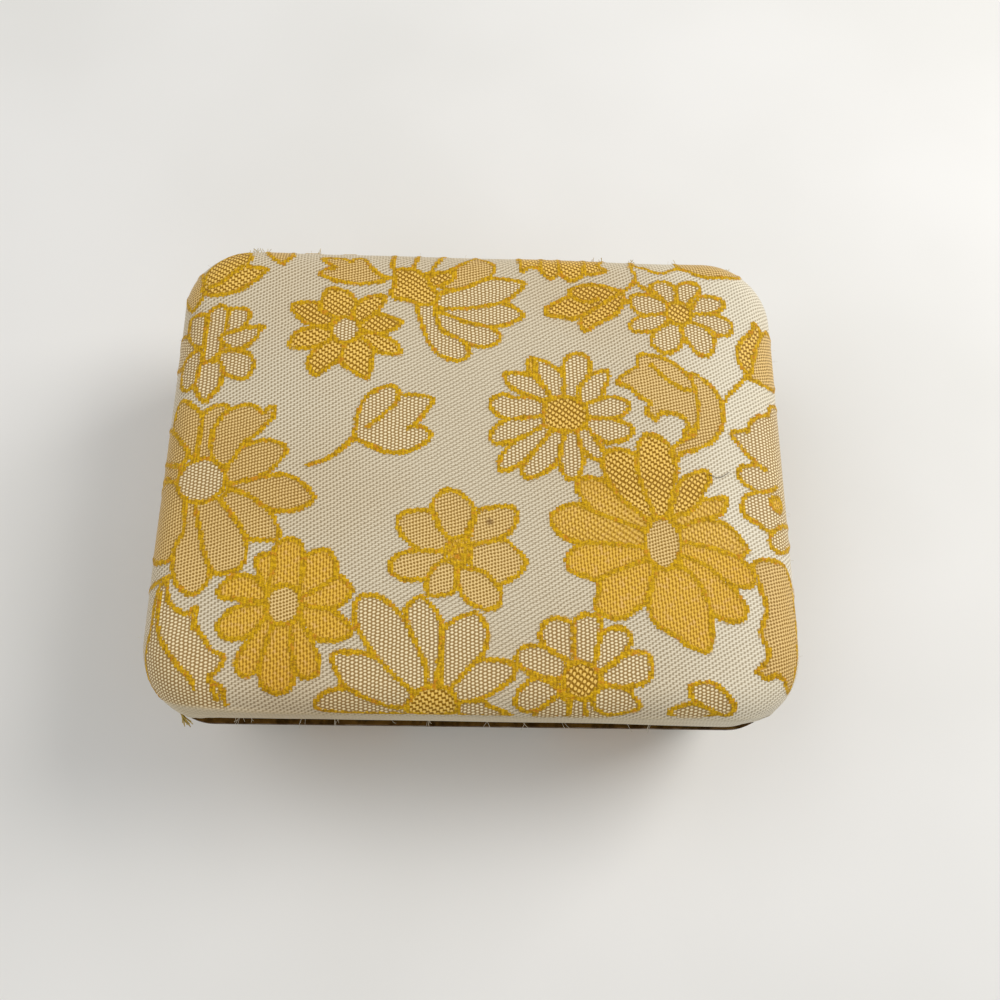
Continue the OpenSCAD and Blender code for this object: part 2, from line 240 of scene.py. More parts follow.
def outlineCord(tree, look, inMm, threads):
    # the outline is stepped, because the loom can only draw it in whole stitches
    across, up = look["stitch"]
    split = addNode(tree, "SeparateXYZ", {0: threads}).outputs
    column = calc(tree, "FLOOR", calc(tree, "DIVIDE", split[0], across))
    # every other column stands half a stitch off
    odd = calc(tree, "MULTIPLY", calc(tree, "PINGPONG", column, 1.0), 0.5)
    row = calc(tree, "FLOOR", calc(tree, "ADD", calc(tree, "DIVIDE", split[1], up), odd))
    middleX = calc(tree, "MULTIPLY", calc(tree, "ADD", column, 0.5), across)
    middleY = calc(tree, "MULTIPLY", calc(tree, "SUBTRACT", calc(tree, "ADD", row, 0.5), odd), up)
    middle = addNode(tree, "CombineXYZ", {0: middleX, 1: middleY}).outputs[0]
    offset = vectorCalc(tree, "SUBTRACT", middle, threads)
    shift = vectorCalc(tree, "DOT_PRODUCT", readCloth(tree, "cordWay", "Vector"), offset)
    chance = addNode(tree, "TexWhiteNoise", {"Vector": middle}, noise_dimensions="2D").outputs[0]
    reach = calc(tree, "MULTIPLY_ADD", shift, look["lean"], readCloth(tree, "cordDistance"))
    reach = calc(tree, "ADD", reach, jitter(tree, chance, look["ragged"]))
    swell = speckle(tree, inMm, look["swell"]["scale"], 1.0)
    reach = calc(tree, "ADD", reach, jitter(tree, swell, look["swell"]["strength"]))
    cord = fade(tree, reach, look["width"] - look["soft"], look["width"] + look["soft"], 1.0, 0.0)
    # each stitch has a painted highlight at its middle, and a chance and a grain of its own
    knot, grain = look["knot"], look["grain"]
    fromMiddle = vectorCalc(tree, "LENGTH", offset)
    fibres = fade(tree, speckle(tree, threads, grain["scale"], 3.0), grain["from"], grain["full"], 0.0,
                  grain["strength"])
    twist = calc(tree, "MULTIPLY_ADD", chance, look["ply"], fibres)
    stitchHighlight = fade(tree, fromMiddle, knot["from"], knot["full"], knot["strength"], 0.0)
    twist = calc(tree, "ADD", twist, stitchHighlight, clamp=True)
    cordTone = blendColour(tree, twist, tone(*look["dark"]), tone(*look["light"]))
    orange = patches(tree, inMm, look["orange"])
    return reach, cord, twist, blendColour(tree, orange, cordTone, tone(*look["orange"]["tone"]))


def ageAndPaintLight(tree, look, colour, place, inMm, fleck, mixed):
    # warm patches all over and one small brown spot, with a painted sheen that makes the bare ground paler to
    # the right and painted shade at the front left
    form = look["aged"]
    patch = fade(tree, cloud(tree, place, form["size"], 3.0), *form["edge"])
    warm = blendColour(tree, 1.0, colour, tone(*form["tone"]), "MULTIPLY")
    colour = blendColour(tree, calc(tree, "MULTIPLY", patch, form["share"]), colour, warm)
    # painted sheen: the bare ground grows paler towards the right
    form = look["paintedSheen"]
    toRight = fade(tree, addNode(tree, "SeparateXYZ", {0: place}).outputs[0], form["from"], form["full"])
    paintedSheenShare = calc(tree, "MULTIPLY", toRight, fade(tree, mixed["groundLit"], 0.0, 1.0, *form["share"]))
    colour = blendColour(tree, calc(tree, "MULTIPLY", paintedSheenShare, mixed["bare"]), colour, tone(*form["tone"]))
    # painted shade: the cloth grows darker towards the front left
    form = look["paintedShade"]
    far = vectorCalc(tree, "DISTANCE", place, form["at"])
    far = calc(tree, "ADD", far, calc(tree, "MULTIPLY", patch, form["ragged"]))
    paintedShade = blendColour(tree, 1.0, colour, tone(*form["tone"]), "MULTIPLY")
    colour = blendColour(tree, fade(tree, far, form["from"], form["to"], form["share"], 0.0), colour, paintedShade)
    form = look["spot"]
    far = vectorCalc(tree, "DISTANCE", inMm, form["at"])
    far = calc(tree, "ADD", far, jitter(tree, fleck, form["ragged"]))
    shown = fade(tree, far, form["from"], form["to"], form["share"], 0.0)
    return blendColour(tree, shown, colour, tone(*form["tone"]))


def brocadeMaterial(name, look):
    material, tree, place = newMaterial(name)
    inMm = scaled(tree, addNode(tree, "UVMap", uv_map="clothMap").outputs[0], 100.0)
    # the threads wander a little
    wobble = speckle(tree, inMm, look["wander"]["scale"], 2.0, "Color")
    wobble = scaled(tree, vectorCalc(tree, "SUBTRACT", wobble, (0.5, 0.5, 0.5)), look["wander"]["far"])
    threads = vectorCalc(tree, "ADD", inMm, wobble)
    fleck = speckle(tree, inMm, look["fleck"]["scale"], 3.0)
    mixed = mixWeaves(tree, look, inMm, threads, fleck)
    reach, cord, twist, cordTone = outlineCord(tree, look["cord"], inMm, threads)

    # the raised thread's shadow lies along the outline
    width, form = look["cord"]["width"], look["shadow"]
    noCord = calc(tree, "SUBTRACT", 1.0, cord)
    shade = fade(tree, reach, width, width + form["reach"], form["share"], 0.0)
    colour = blendColour(tree, calc(tree, "MULTIPLY", shade, noCord), mixed["colour"], tone(*form["tone"]))
    colour = blendColour(tree, cord, colour, cordTone)
    mixed["bare"] = calc(tree, "MULTIPLY", mixed["bare"], noCord)

    # plain satin along the front lip
    form = look["lip"]
    lip = readCloth(tree, "lipMask")
    folds = cloud(tree, stretched(tree, place, form["stretch"]), form["folds"])
    lipTone = blendColour(tree, fade(tree, folds, *form["edge"]), tone(*form["dark"]), tone(*form["light"]))
    lipTone = blendColour(tree, form["share"], mixed["groundColour"], lipTone)
    colour = ageAndPaintLight(tree, look, blendColour(tree, lip, colour, lipTone), place, inMm, fleck, mixed)

    relief = look["relief"]
    raised = calc(tree, "ADD", calc(tree, "MULTIPLY", mixed["height"], relief["weave"]),
                  calc(tree, "MULTIPLY", cord, twist))
    folded = calc(tree, "MULTIPLY", folds, lip)
    finishMaterial(tree, colour, fade(tree, cord, 0.0, 1.0, *look["roughness"]),
                   [(folded, *relief["folds"]), (raised, *relief["cord"])],
                   Anisotropic=0.4, Sheen_Weight=0.04, Sheen_Roughness=0.35, Specular_IOR_Level=0.14)
    return material


# The floral pattern, in mm on the lid as it lies: x to the right, y to the back
fillNumbers = {"plain": -1, "light": 0, "dense": 1, "gold": 2, "rich": 3, "goldRich": 4}


def oval(x, y, rx, ry, knots=20):
    turns = [knot * math.tau / knots for knot in range(knots)]
    return [(x + rx * math.cos(turn), y + ry * math.sin(turn)) for turn in turns]


# each flower is a list from the bottom up, of outlines by what fills them, then of its open lines
flowers = {
    "backLeftLeaf": [
        ("dense", [(-52.8, 35.5), (-52.4, 33), (-54.6, 30), (-56.5, 33), (-57.2, 38), (-54, 39)]),
        ("gold", [(-41, 38.8), (-43.3, 39.2), (-44.8, 39.5), (-44.4, 41.9), (-45.5, 43.6), (-49, 42.5),
          (-52.5, 39), (-52.7, 35.4), (-53, 34.2), (-51.5, 32.9), (-47.9, 33.1), (-45.2, 34.4),
          (-42.9, 36.3)]),
        ("dense", [(-43.6, 48), (-42.3, 45.4), (-41, 42.7), (-38.3, 40.2), (-37.5, 41.3), (-36.7, 42.6),
          (-36.9, 46), (-38.4, 49.5), (-41, 51.4), (-43.4, 50.4)]),
        ("line", [(-51.5, 34.8), (-49.6, 35.4), (-47.5, 37.5), (-45.8, 39.4)]),
    ],
    "leftDaisy": [
        ("light", [(-55.2, 25), (-53.8, 22.9), (-51.9, 21.5), (-53, 19.5), (-55, 18.3), (-57.3, 19),
          (-57.3, 25)],
         [(-51.7, 21.3), (-54.6, 20), (-55.4, 17.5), (-55.2, 14.6), (-53.8, 13.1), (-51.9, 15)],
         [(-55, 25.4), (-55, 27.9), (-54.2, 28.7), (-51.5, 28.4), (-51.3, 23.3), (-51.7, 21.7),
          (-53.8, 22.9)],
         [(-47.5, 29.6), (-45.6, 29.9), (-44, 29.7), (-43.3, 28.3), (-44.2, 25.8), (-45.8, 25), (-47.8, 24)],
         [(-47.7, 20.8), (-44.6, 20.9), (-42.5, 20), (-41.5, 17.9), (-42.5, 15.4), (-44.8, 15.2),
          (-47.1, 16.7), (-48.2, 18.8)],
         [(-51.3, 18.5), (-48.1, 18.8), (-47.1, 16.3), (-47.5, 13.8), (-49, 11.7), (-50, 10.6), (-51.5, 12.3),
          (-52.1, 14.6), (-51.7, 17.1)],
         [(-51, 26.7), (-51, 29.2), (-49, 30.7), (-47.5, 29.6), (-47.5, 26.7), (-48.1, 23.3), (-48.1, 20.8),
          (-50, 18.8), (-51.3, 20)],
         [(-40.3, 26), (-43.1, 25.8), (-45.2, 25.2), (-48.3, 24), (-47.5, 22.3), (-45.8, 21.3), (-43.8, 21.5),
          (-41.7, 23.3), (-41.1, 25)]),
    ],
    "star": [
        ("gold", [(-30.2, 31), (-32.9, 31.5), (-35.6, 30.8), (-34.8, 28.8), (-32.5, 26.7), (-30, 26),
          (-27.3, 27), (-28.5, 29.5)],
         [(-20.4, 29.2), (-17.5, 28.8), (-14.8, 27.5), (-16.7, 25.6), (-18.8, 24.8), (-22.3, 25.4),
          (-22.5, 28)],
         [(-30, 26), (-27.3, 25), (-28.2, 22.8), (-30, 21.7), (-32.1, 21.3), (-35.1, 21.5), (-35.2, 22.9),
          (-34.2, 24.6), (-32.5, 25.6)],
         [(-18.8, 24.8), (-16.7, 23.8), (-15.2, 22.3), (-14.8, 20.7), (-17.5, 20.6), (-19.6, 21.3),
          (-21.6, 23), (-22.3, 25)],
         [(-26.8, 23.5), (-24.8, 21.8), (-26, 19), (-27.9, 17.3), (-30.1, 15.7), (-31.3, 17.1), (-31.7, 18.8),
          (-30.2, 21.3)],
         [(-30, 29.6), (-30, 32.5), (-29.4, 34.4), (-28.1, 34.9), (-25.4, 34), (-23.8, 32.3), (-23.3, 30.8),
          (-24.4, 28), (-26.6, 28)],
         [(-23.8, 30.4), (-22.5, 32.3), (-20.6, 33.3), (-18.2, 33.2), (-18.8, 30.8), (-20, 29.2),
          (-22.7, 26.8), (-24, 28)],
         [(-24.8, 23.8), (-21.7, 23.5), (-19.8, 21.3), (-20, 17.9), (-20.5, 15.4), (-23.3, 16.7),
          (-25.4, 18.5), (-25.2, 21.7)]),
        ("light", oval(-25.1, 25.4, 2.6, 2.8)),
    ],
    "backLeaf": [
        ("dense", [(-17.3, 37.7), (-20, 36.5), (-23.3, 36), (-27.1, 36.5), (-29.4, 37.3), (-30.9, 38.1),
          (-29.8, 39.3), (-28.1, 39.8), (-29.8, 41), (-30.7, 42.4), (-28.3, 42.4), (-26.3, 42.3),
          (-25.3, 41.3), (-24.6, 42.4), (-22.9, 42.5), (-21.5, 40.6), (-20, 38.8), (-18.5, 37.9)]),
    ],
    "backFlower": [
        ("plain", [(-16.7, 39.5), (-17.1, 41.5), (-16.9, 44), (-17.2, 47.5), (-16.4, 50.4), (-14.6, 51.4),
          (-13, 49.8), (-12.3, 46), (-12.5, 42.5), (-13, 39.3)],
         [(-13, 39.3), (-12.4, 43), (-11.8, 47), (-10.8, 50.6), (-8.8, 51.8), (-7.2, 50), (-7.2, 46.5),
          (-8, 43), (-9.6, 39)],
         [(-9.6, 39), (-7.9, 43.1), (-6.2, 46.5), (-4, 49.4), (-1.6, 50.2), (-0.2, 48.6), (-0.8, 45.5),
          (-2.3, 42.3), (-5.8, 40), (-7, 39)]),
        ("dense", [(-5.6, 38.5), (-4.5, 41), (-1, 43.6), (0, 43.2), (1.5, 42.5), (2.6, 41), (2.2, 39.2),
          (1, 37.9), (-1.5, 36.5), (-4.6, 35.2), (-7.5, 35.5)]),
        ("light", [(-8.6, 30.8), (-4, 28.3), (0, 27.2), (2.5, 26.5), (3.8, 24.8), (2.9, 23.3), (0.8, 22.5),
          (-1.8, 22.8), (-2.9, 23.5), (-5.4, 24.8), (-7.5, 26.7)],
         [(-8.5, 31), (-3, 32), (3.1, 32.2), (5.4, 31.9), (7, 31), (8.2, 29.6), (6.7, 28.5), (4.6, 27.3),
          (2.1, 26.9), (0, 27.2), (-4, 28.3), (-8.4, 30.5)],
         [(-8.3, 34), (-4.6, 35.2), (-1.5, 36.5), (1, 37.9), (3.3, 38.1), (6.3, 37.7), (8.4, 37.1),
          (7.5, 35.4), (5.4, 33.3), (3.1, 32.2), (-2, 31), (-8.3, 31)],
         [(-12.1, 32), (-11.9, 30), (-10.8, 26.7), (-9.6, 23.3), (-7.5, 20.6), (-4.2, 19.4), (-2.1, 20.6),
          (-2.3, 22.5), (-4.2, 24.2), (-7.1, 25.8), (-8.5, 29.2), (-8.9, 32)]),
        ("gold", [(-10, 37.9), (-8.3, 39.2), (-6.3, 39.4), (-5.1, 38.5), (-5.8, 37.3), (-7.5, 36.3),
          (-9.4, 35.4), (-10.6, 36.4)],
         [(-16.7, 39.6), (-15, 39.9), (-12.5, 39.6), (-10.4, 37.9), (-9.6, 35.8), (-8.3, 34.2), (-8.3, 32.4),
          (-10, 31.6), (-12.1, 31.7), (-14.2, 32.7), (-16.3, 32.9), (-17.2, 34.2), (-16.4, 35.8),
          (-16.6, 37.9)]),
    ],
    "bud": [
        ("light", [(-22.4, 4.4), (-22.1, 5.8), (-21.9, 8.3), (-20.8, 11.3), (-18.8, 13.1), (-16.3, 14),
          (-14.7, 13.1), (-13.8, 12.1), (-11.3, 12.3), (-8.4, 11.4), (-9.6, 9), (-11.5, 6.3), (-10, 5.8),
          (-8.4, 4.4), (-10, 2.5), (-12.9, 1), (-15.8, 0.8), (-19.2, 1.9), (-21.9, 3.3)]),
        ("line", [(-14.8, 12.6), (-15, 10.8), (-17.5, 7.9), (-20, 5.8)],
         [(-11.5, 6.3), (-12.8, 5.5)],
         [(-22.2, 3.8), (-24, 2), (-26, 0), (-28, -1.1), (-30.2, -2)],
         [(-22.2, 3.4), (-24, 1.7), (-25.4, 0.2)]),
    ],
    "leftFlower": [
        ("dense", [(-52.8, -1.4), (-52, 0.8), (-54, 3.5), (-57.2, 7), (-58.8, 5), (-58.5, 1), (-55.5, -0.9)],
         [(-53, -5.2), (-53, -2), (-55.5, -1.2), (-58.2, 0.8), (-58.4, -3.4), (-56, -3.5)],
         [(-51, -0.5), (-52.5, 2), (-55.6, 5.5), (-55.8, 8), (-55.4, 10), (-54.4, 11.4), (-52.3, 10),
          (-50.4, 8.3), (-49, 4), (-49, 0)],
         [(-51.3, -8.6), (-51, -13.8), (-52.1, -16.7), (-52.9, -19.2), (-55.4, -19.4), (-57.1, -17.9),
          (-58.2, -14), (-58.2, -7), (-56, -4.2), (-53.6, -5)],
         [(-50.3, -0.5), (-50, 5), (-49.8, 8.3), (-47.9, 9.7), (-46.3, 9.9), (-45.2, 8.8), (-47, 6.7),
          (-48, 3.8), (-47.5, -1)],
         [(-43.3, -6.3), (-41.3, -7.1), (-38.3, -8.8), (-36.3, -10.4), (-35, -12.5), (-34, -15.1),
          (-35.4, -15.9), (-39.2, -15.6), (-40.4, -14.6), (-42.1, -11.7), (-45, -8.8)],
         [(-44, -6), (-40, -4.2), (-36.7, -4), (-34.2, -3.7), (-31.7, -4.8), (-29.8, -6.3), (-28.7, -7.9),
          (-29.2, -9), (-30.8, -10), (-33.3, -10.6), (-35.4, -10.4), (-37.5, -9.4), (-40.4, -7.5)],
         [(-44.5, -2.5), (-42.5, 1.3), (-40, 2.5), (-37.5, 2.9), (-35, 2.1), (-34.1, 0.8), (-35, -0.9),
          (-36.3, -2.5), (-38.5, -4.2), (-44.2, -5.4)],
         [(-47, -1), (-48, 2.5), (-47.1, 6.5), (-45.4, 8.7), (-42.5, 9.9), (-40.4, 9.4), (-39, 8.1),
          (-38, 9.4), (-36.9, 9.1), (-37.1, 7.5), (-38, 6.2), (-40, 3.8), (-42, 2.2), (-44, -1.5),
          (-45.5, -2)],
         [(-49.6, -8.6), (-48.5, -12.9), (-47.1, -16.7), (-45.6, -20.4), (-45.8, -23.3), (-47.9, -25.5),
          (-50.2, -24.6), (-51.7, -22.5), (-52.3, -19.6), (-52.1, -16.7), (-51, -13.8), (-51.3, -8.6)],
         [(-45.4, -8.3), (-43.8, -10), (-42.1, -12.1), (-40.4, -14.6), (-39.5, -17.5), (-40, -20),
          (-41.7, -21.4), (-44.2, -21.9), (-45.6, -20.8), (-47.1, -17.5), (-48.1, -13.8), (-49.3, -8.6)]),
        ("light", oval(-48.9, -4.7, 4.4, 4.1)),
    ],
    "goldFlower": [
        ("rich", [(-35, -26), (-36.7, -22.5), (-37.8, -20), (-37.3, -18.6), (-35, -18.4), (-34.2, -21)],
         [(-35, -26.7), (-39, -26.4), (-43.3, -25.8), (-43.6, -24.2), (-41.7, -22.4), (-38.3, -22.2),
          (-36, -24.2)],
         [(-34.9, -27), (-40.4, -27.5), (-42.5, -29.2), (-43.4, -30.8), (-42.1, -32.8), (-39.2, -32.9),
          (-36.7, -31.7), (-34.6, -29)],
         [(-30, -28), (-28.3, -31.3), (-26.3, -32.9), (-23.3, -33), (-21.2, -32.1), (-21, -30.8),
          (-22.9, -28.8), (-25, -27.7), (-29.2, -27)],
         [(-30, -26.7), (-25, -27.7), (-22.5, -26.7), (-21.2, -24.6), (-22.1, -22.9), (-23.8, -22),
          (-26.7, -23.3)],
         [(-30.4, -26), (-29.6, -21.7), (-29.4, -18.8), (-27.5, -17.6), (-25.4, -17.6), (-24.2, -19.6),
          (-24.2, -22.1), (-26.7, -24.2)],
         [(-34.8, -28.5), (-37.5, -32.5), (-39.4, -35.4), (-39.9, -37.1), (-38.8, -38.9), (-37.1, -38.9),
          (-35.4, -36.7), (-33.4, -30)],
         [(-31.2, -29.3), (-30.8, -33.3), (-30, -37.5), (-28.8, -39.1), (-27.1, -39.1), (-25.9, -37.5),
          (-26.7, -34.6), (-28.8, -30.8), (-30.2, -28)],
         [(-33.6, -29.6), (-35.4, -35.4), (-35.9, -38.3), (-35, -40.7), (-32.9, -41.8), (-30.8, -41),
          (-30.1, -38.8), (-30.8, -33.3), (-31.4, -29.6)],
         [(-35, -26), (-34.7, -20), (-34.9, -17.5), (-33.3, -15.7), (-31.3, -15.7), (-29.9, -17.1),
          (-29.8, -20), (-30.2, -26)]),
        ("dense", oval(-32.5, -27.1, 3.0, 3.4)),
    ],
    "frontLeftLeaf": [
        ("light", [(-53.8, -23), (-52.7, -23.6), (-52.1, -26.7), (-50, -28.3), (-48.3, -28.8), (-47.4, -27.5),
          (-46.9, -30.8), (-45.4, -32.9), (-43.8, -35), (-41.8, -35.9), (-42.5, -37.9), (-44.2, -39.6),
          (-42.1, -40.6), (-41.3, -42.9), (-41.7, -44.4), (-47.5, -44.4), (-51, -43.6), (-53.2, -42),
          (-55.2, -39.2), (-55.8, -35.8), (-55, -30.8), (-54.8, -25.8)]),
        ("line", [(-53.8, -25), (-54, -29.2), (-52.9, -32.9), (-50, -36.7), (-47.1, -39.6), (-46.3, -41.3)],
         [(-52.1, -22.2), (-54, -22.6), (-57.6, -24)],
         [(-47.9, -28.4), (-47.4, -31.4)],
         [(-43.8, -39.8), (-42.6, -42.8)]),
    ],
    "centreFlower": [
        ("dense", [(-4.5, -16.7), (-7.9, -17.5), (-10.8, -16.7), (-13.3, -14.2), (-14, -12.1), (-12.9, -10.5),
          (-10.4, -9.9), (-8.1, -10.1), (-6.7, -12.9), (-4.5, -15)],
         [(-5.4, -17.5), (-10, -17.3), (-12.9, -17.7), (-14.6, -19.2), (-14.9, -20.8), (-12.9, -22.3),
          (-10.4, -22.5), (-8.3, -22.1), (-6, -20)],
         [(-5.4, -19), (-7.5, -20.4), (-8.6, -23.3), (-7.9, -25.1), (-5.8, -25.1), (-3.6, -24), (-3.6, -20)],
         [(-2, -17.5), (0.8, -15.6), (4.6, -15.1), (6.3, -16.3), (7.9, -17.9), (8.4, -19.4), (7.3, -21.3),
          (5.2, -22.5), (3.3, -23.2), (0, -20.8)],
         [(-2.8, -20), (0, -20.6), (1.7, -21.2), (3.3, -22.9), (4.3, -24.6), (3.8, -26.7), (2.1, -27.4),
          (0, -26.9), (-1.7, -25.8), (-2.9, -24.2), (-3.3, -20.8)],
         [(-1.5, -14.8), (0, -10), (2.1, -9.2), (4.6, -8.9), (6.5, -9.3), (7, -10.8), (6, -13.3),
          (4.4, -14.6), (2.1, -15.4), (-1, -16)],
         [(-7.7, -10), (-7.9, -8.3), (-6.9, -6.9), (-5.2, -5.9), (-2.9, -6.8), (-1.3, -8.3), (-0.6, -10),
          (-1.7, -13.8), (-3.5, -15.6), (-5.8, -14.2)]),
        ("rich", oval(-3.1, -17.2, 2.1, 2.4)),
        ("line", [(-4.4, -17.6), (-3.4, -16.2), (-2, -16.6), (-2.2, -18), (-3.4, -18.2)]),
    ],
    "fan": [
        ("light", [(-26.4, -42.9), (-24.6, -41.3), (-21.3, -40.7), (-17.9, -42.1), (-14.2, -43.4),
          (-10.8, -43.7), (-12, -44.6), (-25, -44.3)],
         [(-3, -42.8), (1.3, -42.3), (2.6, -43.3), (6.3, -44.6), (0, -44.8), (-2.5, -44.4)],
         [(-23.9, -35.8), (-22.9, -34.9), (-18.3, -35.1), (-15.8, -36.3), (-13.3, -38.8), (-10.8, -40.8),
          (-10.4, -43.3), (-14.2, -43.5), (-18.3, -42.1), (-21.7, -40.4), (-23, -38.3)],
         [(0, -36.3), (2.5, -35.7), (5.4, -36.2), (6.7, -37.1), (6.3, -38.8), (4.2, -40.4), (1.3, -42.1),
          (-1.7, -42.6), (-3.5, -42.5), (-4.3, -40.8), (-1.7, -37.9)],
         [(-5.6, -31.2), (-2.9, -28.8), (-0.4, -28), (0.8, -28.7), (2, -30.8), (1.8, -33.8), (0.4, -35.8),
          (-1.7, -37.9), (-4.4, -40.8), (-5.8, -40.4), (-5.6, -35.4)],
         [(-20.5, -29.2), (-20.5, -26.7), (-19.2, -25.3), (-16.7, -25.5), (-14.2, -27), (-12.1, -29.2),
          (-10.4, -32.5), (-8.8, -35.4), (-7.9, -40), (-9.9, -41.2), (-13.3, -38.8), (-17.1, -35),
          (-19.2, -32.1)],
         [(-12, -28.4), (-11.3, -26.6), (-9.6, -25.3), (-7.5, -27), (-6, -29.2), (-5.7, -32.5), (-6.2, -37.5),
          (-6.7, -40.6), (-7.9, -40.4), (-8.3, -36.7), (-10.2, -32.9)]),
        ("gold", [(-11.4, -43.4), (-9.6, -41.2), (-6.7, -40.3), (-4.2, -40.7), (-2.7, -42.9), (-2.9, -44.2),
          (-6.7, -44.8), (-10.4, -44.4)]),
    ],
    "frontDaisy": [
        ("light", [(14.2, -41.3), (15.8, -42.9), (16, -44.6), (10, -44.8), (11.7, -42.9)],
         [(15.8, -42.1), (18.3, -41.7), (19.6, -44.7), (15.8, -44.8), (16.3, -43.3)],
         [(18.3, -41.7), (20.2, -42), (21, -43.6), (23.3, -44.7), (19.4, -44.9)],
         [(20.2, -40.2), (24.6, -39.9), (26.7, -41.3), (27.9, -43.1), (25.8, -43.9), (22.5, -44.3),
          (20, -42.9)],
         [(14.4, -40.6), (11.3, -38.9), (9, -39.2), (7.3, -41), (6.8, -42.9), (8.8, -43.9), (10.8, -43.6),
          (13.3, -41.9)],
         [(14.8, -38.8), (11.3, -38.5), (8.3, -37.5), (6.8, -35.4), (7.9, -33.7), (10.4, -33.4),
          (12.9, -34.1), (14.8, -35.4), (15.6, -37.1)],
         [(21, -37.4), (23.3, -36.3), (25.4, -34.6), (27.5, -34.1), (29.4, -34.6), (29.9, -37.1),
          (29.2, -38.9), (27.1, -39.7), (24.2, -39.9), (21.3, -39.2)],
         [(15.2, -35.6), (12.1, -33.8), (10.8, -31.7), (11.7, -29.5), (13.8, -28.7), (16, -29.3),
          (16.7, -31.7), (16.9, -36.2)],
         [(20, -36.4), (20.8, -32.9), (22.1, -30.6), (24.2, -30.1), (25.9, -30.8), (26.3, -32.5), (25, -34.6),
          (22.9, -36.3), (20.8, -37.7)],
         [(16.9, -36), (16.7, -31.7), (16.5, -29.5), (18.3, -28), (20.4, -28.2), (21.3, -29.5), (20.8, -32.9),
          (20, -36.6), (18.3, -37)]),
        ("gold", oval(17.9, -39, 3.1, 3)),
    ],
    "daisy": [
        ("light", [(12.2, 7.2), (9.2, 5), (6.3, 3.7), (3.3, 2.8), (2, 4.2), (3.1, 6.3), (5.4, 7.8), (6.7, 8),
          (12, 9.2)],
         [(12.2, 8.8), (6.7, 7.9), (4.2, 8), (2, 10), (2.4, 11.7), (4.6, 12.8), (6.7, 12), (9.6, 12.4),
          (12.2, 10.6)],
         [(20, 9.2), (24.2, 8.6), (25.8, 7.9), (27.8, 7.1), (27.8, 5.4), (25.8, 4.1), (23.3, 3.7), (21.3, 5),
          (19.2, 6.9)],
         [(19.2, 10.8), (22.5, 12.6), (25, 12.7), (26.9, 12.2), (27.6, 10.8), (26.3, 9.2), (24.2, 8.5),
          (19.4, 8.8)],
         [(12.5, 11.4), (9.6, 12.5), (7.5, 13.1), (5.4, 14.6), (4.5, 16.8), (6.3, 17.2), (9.2, 16.9),
          (10.8, 15.4), (12.8, 13)],
         [(13.3, 6), (12.1, 3.3), (9.6, 1.3), (7.9, -0.8), (4.2, -2.4), (3.7, -0.8), (4.2, 0.8), (6.3, 3.3),
          (9.2, 5), (12.3, 7)],
         [(17.2, 6.4), (19.2, 6.9), (21.3, 4.2), (22.4, 2.1), (22.1, 0), (20.8, 0.4), (18.8, 2.1),
          (17.7, 4.2)],
         [(13.8, 6.4), (15.8, 6.2), (15, 2.9), (13.8, -0.8), (10.4, -3.2), (8.3, -3.4), (7.8, -1.7), (8.8, 0),
          (10.4, 2.1), (12.1, 4.2)],
         [(15.8, 6.4), (17.5, 6), (18.3, 2.9), (18.8, 0), (18.5, -1.4), (17.5, -3.5), (15.6, -3.2),
          (14.6, -0.8), (14.8, 1.7), (15.4, 4.2)],
         [(18.2, 11.6), (18.8, 15), (20.4, 17.1), (21.7, 17.8), (23.6, 18.1), (23.8, 16.3), (22.9, 14.2),
          (22.1, 12.3), (20, 11.4), (18.8, 10.6)],
         [(13.8, 11.9), (12.1, 14.2), (10.4, 17.1), (10, 19.2), (9.7, 20.4), (12.1, 19.7), (14.2, 18.3),
          (15.4, 16.7), (15.8, 12)]),
        ("rich", [(8.7, 19.7), (10.1, 19.8), (10.3, 17.8), (10.3, 16.3), (9.2, 17.2)]),
        ("light", [(15.6, 12), (15.6, 15.8), (15.4, 18.8), (16.3, 20.7), (17.9, 21.6), (19.8, 21.1),
          (20.6, 19.2), (20, 16.7), (18.3, 14.6), (17.6, 11.8)]),
        ("gold", [(12.1, 11.3), (13.8, 12.4), (16.7, 12.4), (18.8, 11.3), (19.8, 9.2), (19.4, 6.9),
          (17.5, 5.8), (13.8, 5.8), (11.9, 6.7), (11.8, 9.2)]),
    ],
    "bigFlower": [
        ("gold", [(22.7, 1.4), (24.6, 2.4), (26.7, 2.2), (28.8, 0.8), (30, -2.5), (31, -10), (29.2, -10.4),
          (25.8, -7.5), (23.3, -3.8), (22.3, -1.3)]),
        ("goldRich", [(22.7, -3.9), (20, -3.2), (17.9, -3.7), (17.6, -5.4), (18.8, -7.5), (20.8, -10),
          (25, -12.9), (29.6, -13.8), (29.8, -10.8), (25.8, -7.5)],
         [(20.6, -9.6), (17.9, -8.2), (15, -8.9), (13, -10.4), (13.3, -12.5), (15.4, -14.6), (18.8, -15.4),
          (25, -15.8), (29.5, -16.3), (29.5, -13)]),
        ("rich", [(19.2, -15.3), (16.7, -16.6), (15.5, -18.3), (16.2, -20.5), (18.8, -21.3), (21.3, -22.1),
          (25.8, -20), (29.6, -18), (29.4, -16)]),
        ("goldRich", [(36, -12), (40, -10.4), (42.1, -9.9), (43.8, -8.8), (44.6, -6.2), (41.7, -6.5),
          (39.6, -6.7), (36.3, -8.8), (34.2, -10.4)]),
        ("gold", [(34.6, -10), (34.6, -8), (35.4, -5.4), (36.3, -3.3), (38.8, -1.6), (41.4, -1.1),
          (41.6, -3.3), (40.2, -5.4), (39.8, -6.9), (37.5, -9.2)]),
        ("goldRich", [(35.4, -15), (41.7, -16.7), (45.8, -17.2), (47.8, -15.8), (46.7, -13.8), (45.4, -12.1),
          (43.3, -10.8), (40.4, -10.4), (37.5, -11.4), (35.4, -12.4)]),
        ("rich", [(35.6, -17.2), (40.8, -20), (43.8, -21.7), (46.3, -22.6), (48.4, -21.9), (48.8, -19.6),
          (46.7, -17.9), (45.8, -17.1), (41.7, -15.8), (35.6, -14.8)],
